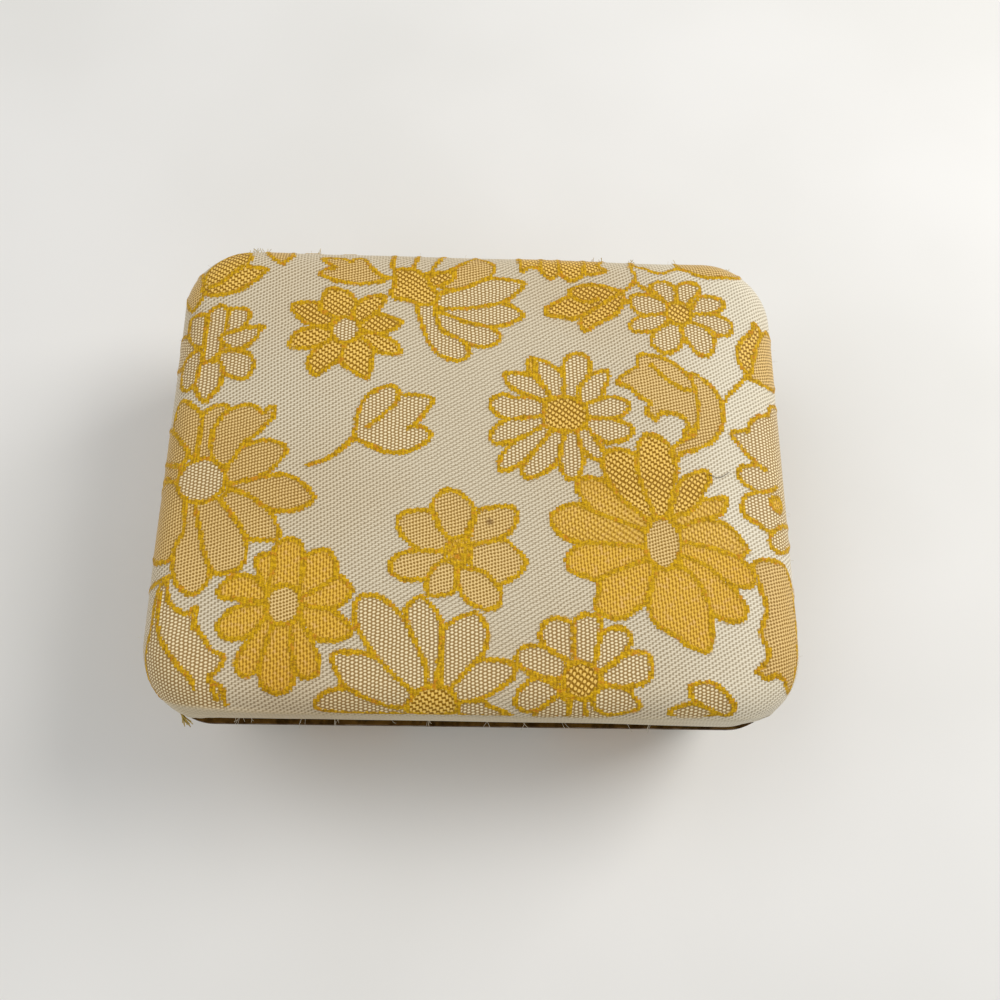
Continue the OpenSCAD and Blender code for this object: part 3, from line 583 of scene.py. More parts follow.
         [(21.3, -21.7), (21, -23.8), (20.3, -26.8), (22.9, -28.5), (25.4, -28.4), (27.1, -27.1),
          (29.2, -25.4), (30.4, -20.8), (30.4, -17.9), (25.8, -19.6)],
         [(35.5, -19.2), (39.2, -23.3), (40.4, -27.1), (43.3, -28.5), (45.9, -28.4), (46.8, -26.3),
          (45, -23.3), (42.9, -21.3), (40, -18.8), (36, -17.4)]),
        ("gold", [(28.8, 2.5), (29.2, 4.2), (30.6, 5.6), (32.9, 4.9), (34.7, 3.3), (34.9, 1.3), (35.8, -0.8),
          (35, -4.2), (33.5, -10.5), (31.6, -10.5), (29.2, -4.2), (28.4, 0)]),
        ("rich", [(31.4, -19.4), (30.2, -23.3), (29.5, -25.8), (30, -28.3), (31.7, -30.1), (34.2, -31.4),
          (36.3, -33), (39.2, -34), (40.3, -32.5), (40.5, -28.8), (40.2, -25.8), (38.8, -22.5), (36.7, -20),
          (34.2, -19)]),
        ("dense", oval(32.5, -15.1, 3.2, 4.7)),
    ],
    "goldBud": [
        ("gold", [(12.4, 30), (12.7, 31.7), (15, 33.3), (17.1, 34.6), (16.9, 35.6), (18.3, 36.7),
          (20.8, 37.4), (23.3, 37.1), (25.4, 36.5), (27.3, 35.7), (27.4, 33.8), (27.1, 32.5), (25.8, 30.6),
          (23.8, 29.2), (21.7, 27.9), (19.8, 26.5), (19, 27.9), (18.8, 29.6), (17.1, 29.1), (15.4, 29.6)]),
        ("line", [(17.1, 34.6), (19, 33.5), (21, 33.2), (22.6, 34)],
         [(27, 35.4), (24.5, 33.8), (22, 31.8), (19, 29.8)],
         [(27.1, 35.8), (28.5, 36.8), (29.8, 38.7), (30, 40), (29.3, 42), (29.5, 45)],
         [(30, 38.8), (30.8, 37.3), (33, 36)]),
    ],
    "backGold": [
        ("gold", [(6.6, 48.5), (7.3, 45), (7.6, 42), (7.9, 40), (9.5, 41.2), (11.7, 41.3), (12, 46),
          (10.6, 50), (8.2, 51)],
         [(12, 46.5), (11.5, 41), (12.3, 39.2), (13.5, 38.4), (14.6, 39.3), (15.3, 40.5), (15.5, 46),
          (14.6, 50.6), (12.6, 52.2), (11.2, 50)],
         [(20, 46.5), (20.2, 40.5), (21.3, 39.7), (23, 40.3), (24.4, 41), (22.9, 42.5), (24.6, 45.6),
          (25.2, 48.6), (23.4, 50.2), (20.8, 49.4)],
         [(15.2, 46), (15.2, 40.5), (16, 39), (17.5, 38.1), (18.8, 38.8), (20, 40.3), (20.2, 46),
          (19.4, 50.8), (17.6, 52.6), (15.8, 50.8)]),
    ],
    "rightDaisy": [
        ("light", [(36, 33.2), (34.2, 35.4), (32.8, 36.7), (33.3, 38), (35.4, 38.6), (37.1, 37.8),
          (37.8, 36.3), (37.8, 33.4)],
         [(40.2, 31.8), (41.7, 34.8), (43.8, 35.5), (46.3, 34.9), (47.1, 33.3), (45.4, 31.9), (44.2, 31.5),
          (40.2, 31)],
         [(35.8, 31.4), (32.5, 30.4), (30, 31), (28.7, 32.9), (28.7, 34.4), (30, 35.3), (32.9, 35.2),
          (35, 34.2), (36.2, 32.8)],
         [(40, 31), (44.2, 31.5), (46.7, 30.8), (48.2, 29.2), (47.5, 27.2), (45.2, 26.8), (43.3, 28.3),
          (39.9, 29.6)],
         [(35.9, 29.6), (33.3, 27.2), (30.8, 26.7), (29, 26.8), (28.2, 27.9), (29.2, 29.4), (30.8, 30.3),
          (35.6, 31)],
         [(38, 33.4), (37.7, 36.7), (38.5, 38), (40.4, 38.6), (42.1, 38), (42.4, 36.3), (40.8, 34.8),
          (39.4, 32.8)],
         [(38.6, 29), (40.6, 29.2), (42.9, 28.3), (44.3, 26.3), (44.3, 24.2), (42.9, 22.2), (40.8, 22.8),
          (39.2, 25), (38.5, 26.7)],
         [(36.4, 29.2), (37.9, 28.6), (38.4, 25.4), (37.1, 23.2), (35, 22.2), (32.9, 23.3), (32.2, 25),
          (33.3, 27.2)]),
        ("gold", oval(37.9, 31.2, 2.5, 2.5)),
    ],
    "backPetals": [
        ("plain", [(30.2, 42.6), (31.9, 42.1), (33.3, 41.2), (35.2, 40.7), (37.1, 41.5), (38.6, 42.7),
          (39, 46), (37, 49.6), (34, 50.8), (31, 49.4), (29.7, 46)]),
        ("dense", [(38.8, 42.6), (40.4, 41.5), (42.5, 40.2), (44.6, 39.8), (47.1, 40), (50.2, 40.4),
          (51.5, 42), (50.6, 44.6), (48.4, 47.6), (44.4, 50), (40.4, 49.6), (38.5, 46.6)]),
    ],
    "curledLeaf": [
        ("dense", [(37.5, 17.2), (39.6, 18.1), (41.7, 17.2), (43.8, 15), (44.9, 12.1), (45.1, 9.6),
          (44.2, 6.7), (42.5, 4.6), (39.6, 2.9), (36.7, 2), (35.6, 0.2), (35.2, 2.9), (37.1, 4.6),
          (39.2, 5.8), (40.2, 9.2), (40, 11.7), (39, 14.6)],
         [(25.3, 15.7), (26.7, 17.3), (28.3, 18.6), (29.3, 19.2), (29.6, 21.4), (30.6, 21.8), (33.3, 21.4),
          (35.8, 20.4), (37.9, 18.8), (39.4, 17), (40.3, 12.5), (40.1, 8.3), (39, 6.3), (37.8, 5.2),
          (37.5, 6.3), (38.4, 7.5), (37.5, 9.1), (35.4, 9.9), (33.3, 9.8), (32.3, 8.2), (31.6, 9), (30.5, 10),
          (31.4, 11.7), (30.8, 12.1), (29.2, 13.3), (27.5, 15)]),
        ("line", [(32, 19.5), (35, 16.5), (37.5, 15), (39, 14.8)]),
    ],
    "rightLeaf": [
        ("dense", [(50.4, 18.8), (52.1, 17.6), (54.2, 17), (56.3, 17.2), (57.5, 20), (57.5, 28), (55.8, 29.3),
          (53.8, 27.5), (52.7, 25), (52.1, 22.5)]),
        ("gold", [(52.6, 30.2), (51.9, 27.9), (50, 26.3), (48.7, 23.8), (48.9, 21.7), (50.3, 19),
          (51.3, 19.6), (51.9, 22.5), (52.7, 25), (53.8, 27.3), (54, 28.8)]),
        ("line", [(50.3, 18.4), (48, 16), (46, 13.8), (45, 12)]),
    ],
    "rightFlower": [
        ("light", [(52.7, -11.7), (52, -14.2), (53.1, -15.5), (54.6, -15.5), (57, -13.5), (57.5, -10),
          (55, -10.2)],
         [(54.9, 13.3), (54.2, 11.3), (52.1, 10.5), (50.1, 9), (49.6, 7.4), (47.1, 7), (46.2, 6.3),
          (47.5, 4.6), (48.8, 2.9), (50.7, 0.9), (47.9, 0.2), (47, -1.7), (48.3, -3.3), (50.4, -4.6),
          (48.3, -5.4), (47.3, -7.5), (47.8, -9.3), (50.4, -10.9), (52.3, -12.2), (55, -10.4), (58, -9),
          (59.5, -4), (59.5, 13)]),
        ("rich", oval(54.2, -6.5, 1.2, 1.4)),
        ("line", [(50.7, 0.9), (52.4, -0.1)],
         [(50.4, -4.6), (52.6, -4.4), (54.6, -3.2)]),
    ],
    "frontRightLeaf": [
        ("dense", [(48.2, -18.8), (49.6, -17.6), (51.7, -17.3), (54.2, -17.8), (55.4, -19.2), (56.2, -21.7),
          (56.5, -27.1), (56, -33.3), (55.2, -37.5), (54.1, -40.1), (52.9, -38.3), (51.3, -37.5),
          (49.6, -38.2), (47.8, -37.1), (49.6, -35.4), (50.1, -33.3), (49.1, -30.8), (49.5, -28.8),
          (50.4, -26.7), (50, -23.8), (49.1, -20.8)]),
    ],
    "frontPair": [
        ("light", [(33, -43.8), (34.6, -42.9), (36.7, -42.4), (38.8, -42.8), (40.8, -44), (37.5, -44.7),
          (34.6, -44.7)],
         [(36.2, -39.7), (38.3, -39), (40.4, -39.3), (42.5, -40.8), (43.9, -42.9), (42.9, -44.3),
          (40.8, -43.8), (38.8, -42.9), (36.6, -41.7)]),
    ],
}
# the flowers used again on the hidden walls and round the base, each by its own middle
flowerMiddles = {
    "daisy": (15.6, 9), "star": (-25, 25.7), "rightDaisy": (37.9, 31.2), "goldFlower": (-32.6, -27),
    "centreFlower": (-3.1, -17.2), "bud": (-15, 7), "curledLeaf": (35, 11),
}
wallRepeats = [
    ("daisy", (-27, 59)), ("centreFlower", (4, 62)), ("star", (30, 63)), ("rightDaisy", (-53, 56)),
    ("rightDaisy", (71, 34)), ("bud", (68, 2)), ("goldFlower", (71, -24)), ("bud", (-69, 27)),
    ("daisy", (-75, -8)), ("star", (-72, -33)),
]
outlineForm = {"pieces": 3, "tautness": 0.4, "reach": 1.5, "unmarked": 9.0}


def moveFlower(name, spot):
    # a flower, and how its outlines are carried to another spot on the cloth
    shift = np.array(spot, float) - flowerMiddles[name]
    return flowers[name], lambda points: points + shift


def smoothLine(points, closed):
    # a curve through the points, fairly taut so that tips and notches stay crisp
    points = np.array(points, float)
    if closed:
        before, after, ahead = np.roll(points, 1, 0), np.roll(points, -1, 0), np.roll(points, -2, 0)
        starts = points
    else:
        padded = np.vstack([points[:1], points, points[-1:]])
        before, starts, after, ahead = padded[:-3], padded[1:-2], padded[2:-1], padded[3:]
    leaving, arriving = (after - before) * outlineForm["tautness"], (ahead - starts) * outlineForm["tautness"]
    out = []
    for step in range(outlineForm["pieces"]):
        t = step / outlineForm["pieces"]
        out.append((2 * t**3 - 3 * t**2 + 1) * starts + (t**3 - 2 * t**2 + t) * leaving
                   + (3 * t**2 - 2 * t**3) * after + (t**3 - t**2) * arriving)
    line = np.stack(out, 1).reshape(-1, 2)
    return line if closed else np.vstack([line, points[-1:]])


def distanceToLine(spots, line):
    # how far the line is, and the unit way from it to each spot
    nearest = np.full(len(spots), np.inf)
    way = np.zeros((len(spots), 2))
    for start, end in zip(line[:-1], line[1:]):
        along = end - start
        share = np.clip(((spots - start) @ along) / max(along @ along, tiny), 0, 1)
        gap = spots - start - share[:, None] * along
        far = np.hypot(gap[:, 0], gap[:, 1])
        closer = far < nearest
        nearest = np.where(closer, far, nearest)
        way = np.where(closer[:, None], gap / np.maximum(far, tiny)[:, None], way)
    return nearest, way


def insideOutline(spots, ring):
    inside = np.zeros(len(spots), bool)
    for (x0, y0), (x1, y1) in zip(ring, np.roll(ring, -1, 0)):
        crosses = (y0 > spots[:, 1]) != (y1 > spots[:, 1])
        if y0 != y1:
            inside ^= crosses & (spots[:, 0] < (x1 - x0) * (spots[:, 1] - y0) / (y1 - y0) + x0)
    return inside


def drawPattern(spots, placed):
    # how far each spot of cloth is from the nearest outline that shows, which way, and its fill
    cordDistance = np.full(len(spots), outlineForm["unmarked"])
    cordWay = np.zeros((len(spots), 2))
    fill = np.full(len(spots), -1)
    shapes = [(kind, points, carry) for flower, carry in placed for kind, *outlines in flower
              for points in outlines]
    for kind, points, carry in shapes:
        line = carry(smoothLine(points, kind != "line"))
        low, high = line.min(0) - outlineForm["reach"], line.max(0) + outlineForm["reach"]
        near = np.nonzero(np.all((spots > low) & (spots < high), axis=1))[0]
        if not len(near):
            continue
        close = spots[near]
        edge = line if kind == "line" else np.vstack([line, line[:1]])
        distance, way = distanceToLine(close, edge)
        taken = distance < cordDistance[near]
        if kind != "line":
            inside = insideOutline(close, line)
            taken |= inside
            fill[near[inside]] = fillNumbers[kind]
        cordDistance[near[taken]] = distance[taken]
        cordWay[near[taken]] = way[taken]
    return cordDistance, cordWay, fill


def lengthsAlong(inset, height):
    return np.concatenate([[0], np.cumsum(np.hypot(np.diff(inset), np.diff(height)))])


def measureLid(form, steps=60):
    # the cloth's way out over the rounded edge, then down the side to the mouth
    rise = np.linspace(1, 0, steps)
    inset = form["mouthInset"] * (1 - rise) ** form["sideCurve"]
    height = form["lidSeat"] + rise * (form["bellyHeight"] - form["lidSeat"])
    coreInset = form["edgeRadius"] * (1 - math.cos(form["edgeTurn"]))
    return {"arc": form["edgeRadius"] * form["edgeTurn"], "inset": inset, "height": height,
            "lengths": lengthsAlong(inset, height), "coreInset": coreInset,
            "corner": form["cornerRadius"] - coreInset}


lidLay = measureLid(boxForm)


def outwards(spots):
    # the nearest point of the flat top's corner frame, the way out from it, and how far out each spot is
    halves = np.array([boxForm["halfWidth"], boxForm["halfDepth"]])
    frameHalf = halves - lidLay["coreInset"] - lidLay["corner"]
    nearest = np.clip(spots, -frameHalf, frameHalf)
    away = spots - nearest
    far = np.hypot(away[:, 0], away[:, 1])
    return nearest, away / np.maximum(far, tiny)[:, None], far - lidLay["corner"]


def planToCloth(points):
    # a place seen from above becomes its place on the flat cloth
    bend, coreInset = boxForm["edgeRadius"], lidLay["coreInset"]
    nearest, way, out = outwards(np.array(points, float))
    lean = np.clip((bend - coreInset + np.maximum(out, 0)) / bend, -1, 1)
    along = bend * (boxForm["edgeTurn"] - np.arccos(lean))
    # further out than the outline means further down the wall
    along = np.where(out > 0, along + np.maximum(out - coreInset, 0), out)
    return nearest + way * (lidLay["corner"] + along)[:, None]


def clothToLid(flat, depth=0.0):
    # a place on the flat cloth becomes its place on the lid, or that far under the lid's face
    form, lay = boxForm, lidLay
    nearest, way, out = outwards(flat)
    turn = form["edgeTurn"] - np.clip(out, 0, lay["arc"]) / form["edgeRadius"]
    bend = form["edgeRadius"] - depth
    onArc = bend * np.cos(turn) - (form["edgeRadius"] - lay["coreInset"])
    rise = form["bellyHeight"] + bend * np.sin(turn)
    down = np.clip(out - lay["arc"], 0, lay["lengths"][-1])
    sideIn = np.interp(down, lay["lengths"], lay["inset"]) + depth
    sideHigh = np.interp(down, lay["lengths"], lay["height"])
    hem = np.clip(out - lay["arc"] - lay["lengths"][-1], 0, None)
    outside = np.where(out <= lay["arc"], onArc, lay["coreInset"] - sideIn - hem)
    rise = np.where(out <= lay["arc"], rise, sideHigh)
    place = nearest + way * (lay["corner"] + outside)[:, None]
    place = np.where((out > 0)[:, None], place, flat)
    crowns = []
    for axis, half in ((0, form["halfWidth"]), (1, form["halfDepth"])):
        share = np.clip((half - lay["coreInset"] - np.abs(flat[:, axis])) / form["crownReach"], 0, 1)
        crowns.append(1 - (1 - share) ** 2)
    lift = form["crown"] * crowns[0] * crowns[1]
    rise = np.where(out > 0, rise, form["bellyHeight"] + bend * math.sin(form["edgeTurn"]) + lift)
    return np.column_stack([place, rise]), out


# at the front the cloth is pulled tight over the rim, more at the left than at the right
frontPull = {
    "left": 1.25, "right": 0.8, "halfSpan": 45, "from": 37.5, "full": 32.5, "leftEnd": (-50.5, -44),
    "rightEnd": (55, 47), "seatShare": 0.3, "seatRise": 0.4, "inset": 2.85, "insetFade": 2.2,
}


def pullFront(place, form=frontPull):
    x, y, z = place.T
    seat, belly = boxForm["lidSeat"], boxForm["bellyHeight"]
    share = np.clip((x + form["halfSpan"]) / (2 * form["halfSpan"]), 0, 1)
    pull = form["left"] + (form["right"] - form["left"]) * share
    ends = [(x - start) / (full - start) for start, full in (form["leftEnd"], form["rightEnd"])]
    ends = np.clip(np.minimum(*ends), 0, 1)
    high = np.clip((form["from"] - z) / (form["from"] - form["full"]), 0, 1)
    risen = np.clip((z - seat) / (form["seatRise"] * (belly - seat)), 0, 1)
    low = form["seatShare"] + (1 - form["seatShare"]) * risen
    soft = [share * share * (3 - 2 * share) for share in (ends, high)]
    near = np.clip((form["inset"] - (boxForm["halfDepth"] + y)) / form["insetFade"], 0, 1)
    near = np.where(z > belly, 1.0, near) * (y < 0)
    moved = place.copy()
    moved[:, 1] += pull * soft[0] * soft[1] * low * near
    return moved


def linkObject(name, data):
    made = bpy.data.objects.new(name, data)
    bpy.context.collection.objects.link(made)
    return made


def addMesh(name, bm, body):
    mesh = bpy.data.meshes.new(name)
    bm.to_mesh(mesh)
    bm.free()
    mesh.shade_smooth()
    piece = linkObject(name, mesh)
    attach(piece, body)
    return piece


def rework(mesh, change):
    bm = bmesh.new()
    bm.from_mesh(mesh)
    change(bm)
    bm.to_mesh(mesh)
    bm.free()
    mesh.update()


def setFinish(piece, material):
    piece.data.materials.clear()
    piece.data.materials.append(material)


def readPoints(mesh):
    points = np.empty(len(mesh.vertices) * 3)
    mesh.vertices.foreach_get("co", points)
    return points.reshape(-1, 3)


def mapCloth(bm):
    # the flat cloth's own mm, in hundreds, as its texture map
    layer = bm.loops.layers.uv.new("clothMap")
    for face in bm.faces:
        for loop in face.loops:
            loop[layer].uv = (loop.vert.co.x / 100, loop.vert.co.y / 100)


def storePattern(mesh, cordDistance, cordWay, fill, lip):
    masks = np.zeros((len(fill), 4))
    for number in range(4):
        masks[fill == number, number] = 1.0
    masks[fill == fillNumbers["goldRich"]] = (0, 0, 1, 0.5)
    ways = np.column_stack([cordWay, np.zeros(len(fill))])
    for name, kind, field, values in (
            ("cordDistance", "FLOAT", "value", cordDistance), ("cordWay", "FLOAT_VECTOR", "vector", ways),
            ("fillMask", "FLOAT_COLOR", "color", masks), ("lipMask", "FLOAT", "value", lip)):
        mesh.attributes.new(name, kind, "POINT").data.foreach_set(field, values.ravel())


def raisedPattern(form, cordDistance, filled, cordReach=0.5):
    # how far the outlines' thick thread and the petals' weave stand up
    return form["cordHeight"] * np.exp(-((cordDistance / cordReach) ** 2)) + form["fillHeight"] * filled


def hills(flat, form):
    # slow noise over the flat cloth
    across, up, seed = form["waves"]
    return np.array([noise.noise(Vector((u * across, v * up, seed))) for u, v in flat]) * form["height"]


def calmEdge(room, form):
    # full strength once there is that much room to the edge
    return np.clip((room - form["margin"]) / form["soft"], 0, 1)


# The lid's cloth: a flat grid that carries the pattern, laid over the dome. Sizes in mm, and the lip
# starts at the y that stands beside each x.
lidCloth = {
    "cell": 0.45, "hem": 0.5, "cordHeight": 0.16, "fillHeight": 0.06, "sink": 0.1,
    "lipFrom": {-46: -43.95, -22: -44.9, 12: -44.95, 45: -44.55}, "lipSoft": 0.12, "lipClear": 5,
    "raised": {"margin": 2, "soft": 2}, "hemShare": 0.97,
    "hollows": {"height": 0.22, "waves": (0.045, 0.045, 3.1), "margin": 3, "soft": 6},
    "ripple": {"height": 0.16, "waves": (0.05, 0.9, 7.7)},
    "roll": {"height": 0.1, "at": 0.4, "wide": 0.4, "end": 54, "soft": 6},
}


def cutLidCloth(form):
    reach = lidLay["arc"] + lidLay["lengths"][-1] + form["hem"]
    halves = [half - lidLay["coreInset"] + reach for half in (boxForm["halfWidth"], boxForm["halfDepth"])]
    bm = bmesh.new()
    cellsU, cellsV = (round(2 * half / form["cell"]) for half in halves)
    spread = Matrix.Diagonal((*halves, 1, 1))
    bmesh.ops.create_grid(bm, x_segments=cellsU, y_segments=cellsV, size=1, matrix=spread)
    out = outwards(np.array([v.co[:2] for v in bm.verts]))[2]
    gone = [v for v, far in zip(bm.verts, out) if far > reach + form["cell"]]
    bmesh.ops.delete(bm, geom=gone, context="VERTS")
    # the last row is drawn in to the hem's edge
    flat = np.array([v.co[:2] for v in bm.verts])
    nearest, way, out = outwards(flat)
    flat = np.where((out > reach)[:, None], nearest + way * (lidLay["corner"] + reach), flat)
    for vert, (u, v) in zip(bm.verts, flat):
        vert.co = (u, v, 0)
    area = sum(face.calc_area() for face in bm.faces) * mm * mm
    mapCloth(bm)
    return addMesh("lid_cloth", bm, "lid"), reach, [2 * half * mm for half in halves], area


def makeLidCloth(form):
    cloth, reach, flatSize, area = cutLidCloth(form)
    flat = readPoints(cloth.data)[:, :2]
    placed = [moveFlower(*repeat) for repeat in reversed(wallRepeats)]
    placed += [(flower, planToCloth) for flower in flowers.values()]
    cordDistance, cordWay, fill = drawPattern(flat, placed)
    lipLines = [planToCloth([(0, y)])[0][1] for y in form["lipFrom"].values()]
    lipLine = np.interp(flat[:, 0], list(form["lipFrom"]), lipLines)
    lip = 1 / (1 + np.exp(np.clip((flat[:, 1] - lipLine) / form["lipSoft"], -40, 40)))
    cordDistance = cordDistance + lip * form["lipClear"]
    storePattern(cloth.data, cordDistance, cordWay, fill, lip)

    place, out = clothToLid(flat)
    normal = place - clothToLid(flat, 1.0)[0]
    normal /= np.maximum(np.linalg.norm(normal, axis=1), tiny)[:, None]
    normal[out > lidLay["arc"] + lidLay["lengths"][-1] * form["hemShare"]] = 0
    raised = raisedPattern(form, cordDistance, (fill >= 0) * (1 - lip))
    raised = raised * calmEdge(reach - out, form["raised"])
    # gentle hollows in the wadding, and the rolled lip at the front
    hollows = hills(flat, form["hollows"]) * calmEdge(reach - out, form["hollows"])
    ripple = hills(flat, form["ripple"]) * lip
    ridge = form["roll"]
    roll = ridge["height"] * np.exp(-(((flat[:, 1] - lipLine + ridge["at"]) / ridge["wide"]) ** 2))
    roll = roll * np.clip((ridge["end"] - np.abs(flat[:, 0])) / ridge["soft"], 0, 1)
    place = place + normal * (raised + hollows - form["sink"] + ripple + roll)[:, None]
    cloth.data.vertices.foreach_set("co", (pullFront(place) * mm).ravel())
    cloth.data.update()
    return cloth, tuple(flatSize), area


lidSkin, lidFlat, lidArea = makeLidCloth(lidCloth)
brocade = brocadeMaterial("brocade", brocadeFinish)
setFinish(lidSkin, brocade)
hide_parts("lid_brocade")
print("brocade box: lid cloth laid,", len(lidSkin.data.polygons), "faces")


def ringPlaces(along, inset, height):
    # along is mm round the box at its outside, from the right end of the back, and inset and height a profile
    bend = boxForm["cornerRadius"]
    coreX, coreY = boxForm["halfWidth"] - bend, boxForm["halfDepth"] - bend
    spans = [(coreX, coreY, 90, 2 * coreX), (-coreX, coreY, 180, 2 * coreY), (-coreX, -coreY, 270, 2 * coreX),
             (coreX, -coreY, 360, 2 * coreY)]
    middle = np.zeros((len(along), 2))
    turn = np.zeros(len(along))
    start = 0.0
    for x, y, facing, straight in spans:
        ahead = math.radians(facing + 90)
        forwards = np.array([math.cos(ahead), math.sin(ahead)])
        here = (along >= start) & (along < start + straight + bend * math.pi / 2)
        walked = along - start
        reached = np.array([x, y]) + forwards * np.clip(walked, 0, straight)[:, None]
        middle = np.where(here[:, None], reached, middle)
        swing = np.clip((walked - straight) / bend, 0, math.pi / 2)
        turn = np.where(here, math.radians(facing) + swing, turn)
        start += straight + bend * math.pi / 2
    way = np.column_stack([np.cos(turn), np.sin(turn)])
    return np.column_stack([middle + way * (bend - inset)[:, None], height]), way


def ringLength():
    form, bend = boxForm, boxForm["cornerRadius"]
    return 4 * (form["halfWidth"] + form["halfDepth"] - 2 * bend) + math.tau * bend


def makeRing(name, body, profile, cell, ripple=None, decorate=None):
    # a strip of cloth right round the box, its seam closed at the back
    inset, height = np.array(profile, float).T
    lengths = lengthsAlong(inset, height)
    around, down = ringLength(), lengths[-1]
    bm = bmesh.new()
    spread = Matrix.Translation((around / 2, -down / 2, 0)) @ Matrix.Diagonal((around / 2, down / 2, 1, 1))
    bmesh.ops.create_grid(bm, x_segments=round(around / cell), y_segments=max(round(down / cell), 4), size=1,
                          matrix=spread)
    mapCloth(bm)
    piece = addMesh(name, bm, body)
    flat = readPoints(piece.data)
    along, below = np.clip(flat[:, 0], 0, around - 1e-6), -flat[:, 1]
    along[flat[:, 0] > around - 1e-3] = 0.0  # the two ends of the strip meet
    place, way = ringPlaces(along, np.interp(below, lengths, inset), np.interp(below, lengths, height))
    if decorate:
        place[:, :2] += way * decorate(piece.data, flat[:, :2], below, down)[:, None]
    if ripple:
        calm = np.clip(np.minimum(below - ripple["calmTop"], down - below) / ripple["soft"], 0, 1)
        place[:, :2] += way * (hills(np.column_stack([along, below]), ripple) * calm)[:, None]
    piece.data.vertices.foreach_set("co", (place * mm).ravel())
    rework(piece.data, lambda bm: bmesh.ops.remove_doubles(bm, verts=bm.verts, dist=1e-7))
    return piece, (around * mm, down * mm)


def taperedSide(inset, top, bottom):
    # the base's wall: straight where the fingers grip, then drawn in to the foot
    form = boxForm
    side = [(inset, top), (inset, form["gripHeight"])]
    for share in (0.25, 0.5, 0.75, 1.0):
        height = form["gripHeight"] + share * (form["footHeight"] - form["gripHeight"])
        if height >= bottom - 1e-6:
            side.append((inset + form["baseTaper"] * share ** form["taperCurve"], height))
    return side


# The base's cloth, from its turned-in mouth to the bottom, with a row of flowers high and low by turns
baseCloth = {
    "cell": 0.5, "mouthTurn": 0.5, "mouthRound": 0.12, "wallFrom": 0.4,
    "row": ["daisy", "star", "rightDaisy", "goldFlower", "centreFlower", "bud", "curledLeaf"],
    "first": 14.0, "step": 25.2, "lastGap": 12, "high": -17.0, "low": -6.0,
    "cordHeight": 0.14, "fillHeight": 0.05, "sink": 0.12, "plainTop": 0.8, "plainFoot": 4,
}


def baseProfile(cloth):
    form = boxForm
    mouth, seat = form["mouthInset"], form["baseSeat"]
    footInset = mouth + form["baseTaper"] + form["footRadius"]
    profile = [(mouth + cloth["mouthTurn"], seat), (mouth + cloth["mouthRound"], seat),
               (mouth, seat - cloth["mouthRound"])]
    profile += taperedSide(mouth, seat - cloth["wallFrom"], form["footHeight"])
    for turn in range(15, 91, 15):
        lean = math.radians(turn)
        profile.append((footInset - form["footRadius"] * math.cos(lean),
                        form["footHeight"] - form["footRadius"] * math.sin(lean)))
    return profile + [(footInset + form["underReach"], form["underHeight"])]


def baseFlowers(mesh, flat, below, down):
    form = baseCloth
    placed, spot = [], form["first"]
    while spot < ringLength() - form["lastGap"]:
        rise = form["low"] if len(placed) % 2 else form["high"]
        placed.append(moveFlower(form["row"][len(placed) % len(form["row"])], (spot, rise)))
        spot += form["step"]
    cordDistance, cordWay, fill = drawPattern(flat, placed)
    storePattern(mesh, cordDistance, cordWay, fill, np.zeros(len(fill)))
    raised = raisedPattern(form, cordDistance, fill >= 0) - form["sink"]
    return raised * np.clip(np.minimum(below - form["plainTop"], down - form["plainFoot"] - below), 0, 1)


baseSide = baseProfile(baseCloth)
baseSkin, baseFlat = makeRing("base_cloth", "base", baseSide, baseCloth["cell"], decorate=baseFlowers)
setFinish(baseSkin, brocade)
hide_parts("base_brocade")
print("brocade box: base cloth wrapped")

# Satin linings, each a gathered strip round the inside
satinFinish = {
    "dark": (222, 204, 166), "light": (238, 223, 190), "aged": (214, 190, 146),
    "agedSize": 0.012, "agedShare": 0.2, "roughness": (0.3, 0.42),
    "beats": [(2.4, 0.0, 1.0), (0.0, 2.4, 1.0), (0.9, 0.9, 0.4)],
}


def satinMaterial(name, look):
    material, tree, place = newMaterial(name)
    lit = fade(tree, wave(tree, scaled(tree, place, 1 / mm), look["beats"]), -2.0, 2.0)
    patch = fade(tree, cloud(tree, place, look["agedSize"], 3.0), 0.3, 0.7)
    colour = blendColour(tree, lit, tone(*look["dark"]), tone(*look["light"]))
    colour = blendColour(tree, calc(tree, "MULTIPLY", patch, look["agedShare"]), colour, tone(*look["aged"]))
    finishMaterial(tree, colour, fade(tree, patch, 0.0, 1.0, *look["roughness"]), [(lit, 0.12, 0.00008)],
                   Anisotropic=0.6, Sheen_Weight=0.3, Sheen_Roughness=0.3)
    return material


satin = satinMaterial("lining_satin", satinFinish)
# the strip turns over its rim: its insets from the outside, and the heights of its hidden and shown ends
liningForm = {
    "face": 5.5, "top": 5.2, "back": 4.9, "tuck": 1.2, "rollBack": 0.2, "rollFace": 0.25, "cell": 0.9,
    "baseTop": 21.7, "baseBottom": 6.1, "lidLow": 22.3, "lidHigh": 34.2,
    "ripple": {"height": 0.22, "waves": (0.55, 0.06, 1.7), "calmTop": 1.5, "soft": 2},
}


def liningEdge(rim, way):
    # round the edge at the mouth, from the hidden end to the face, way being 1 when the strip goes upwards
    form = liningForm
    return [(form["back"], rim + way * form["tuck"]), (form["back"], rim + way * form["rollBack"]),
            (form["top"], rim), (form["face"], rim + way * form["rollFace"])]


def makeLining(name, body, profile):
    lining, flat = makeRing(name, body, profile, liningForm["cell"], ripple=liningForm["ripple"])
    setFinish(lining, satin)
    rework(lining.data, lambda bm: bmesh.ops.recalc_face_normals(bm, faces=bm.faces))
    return lining, flat


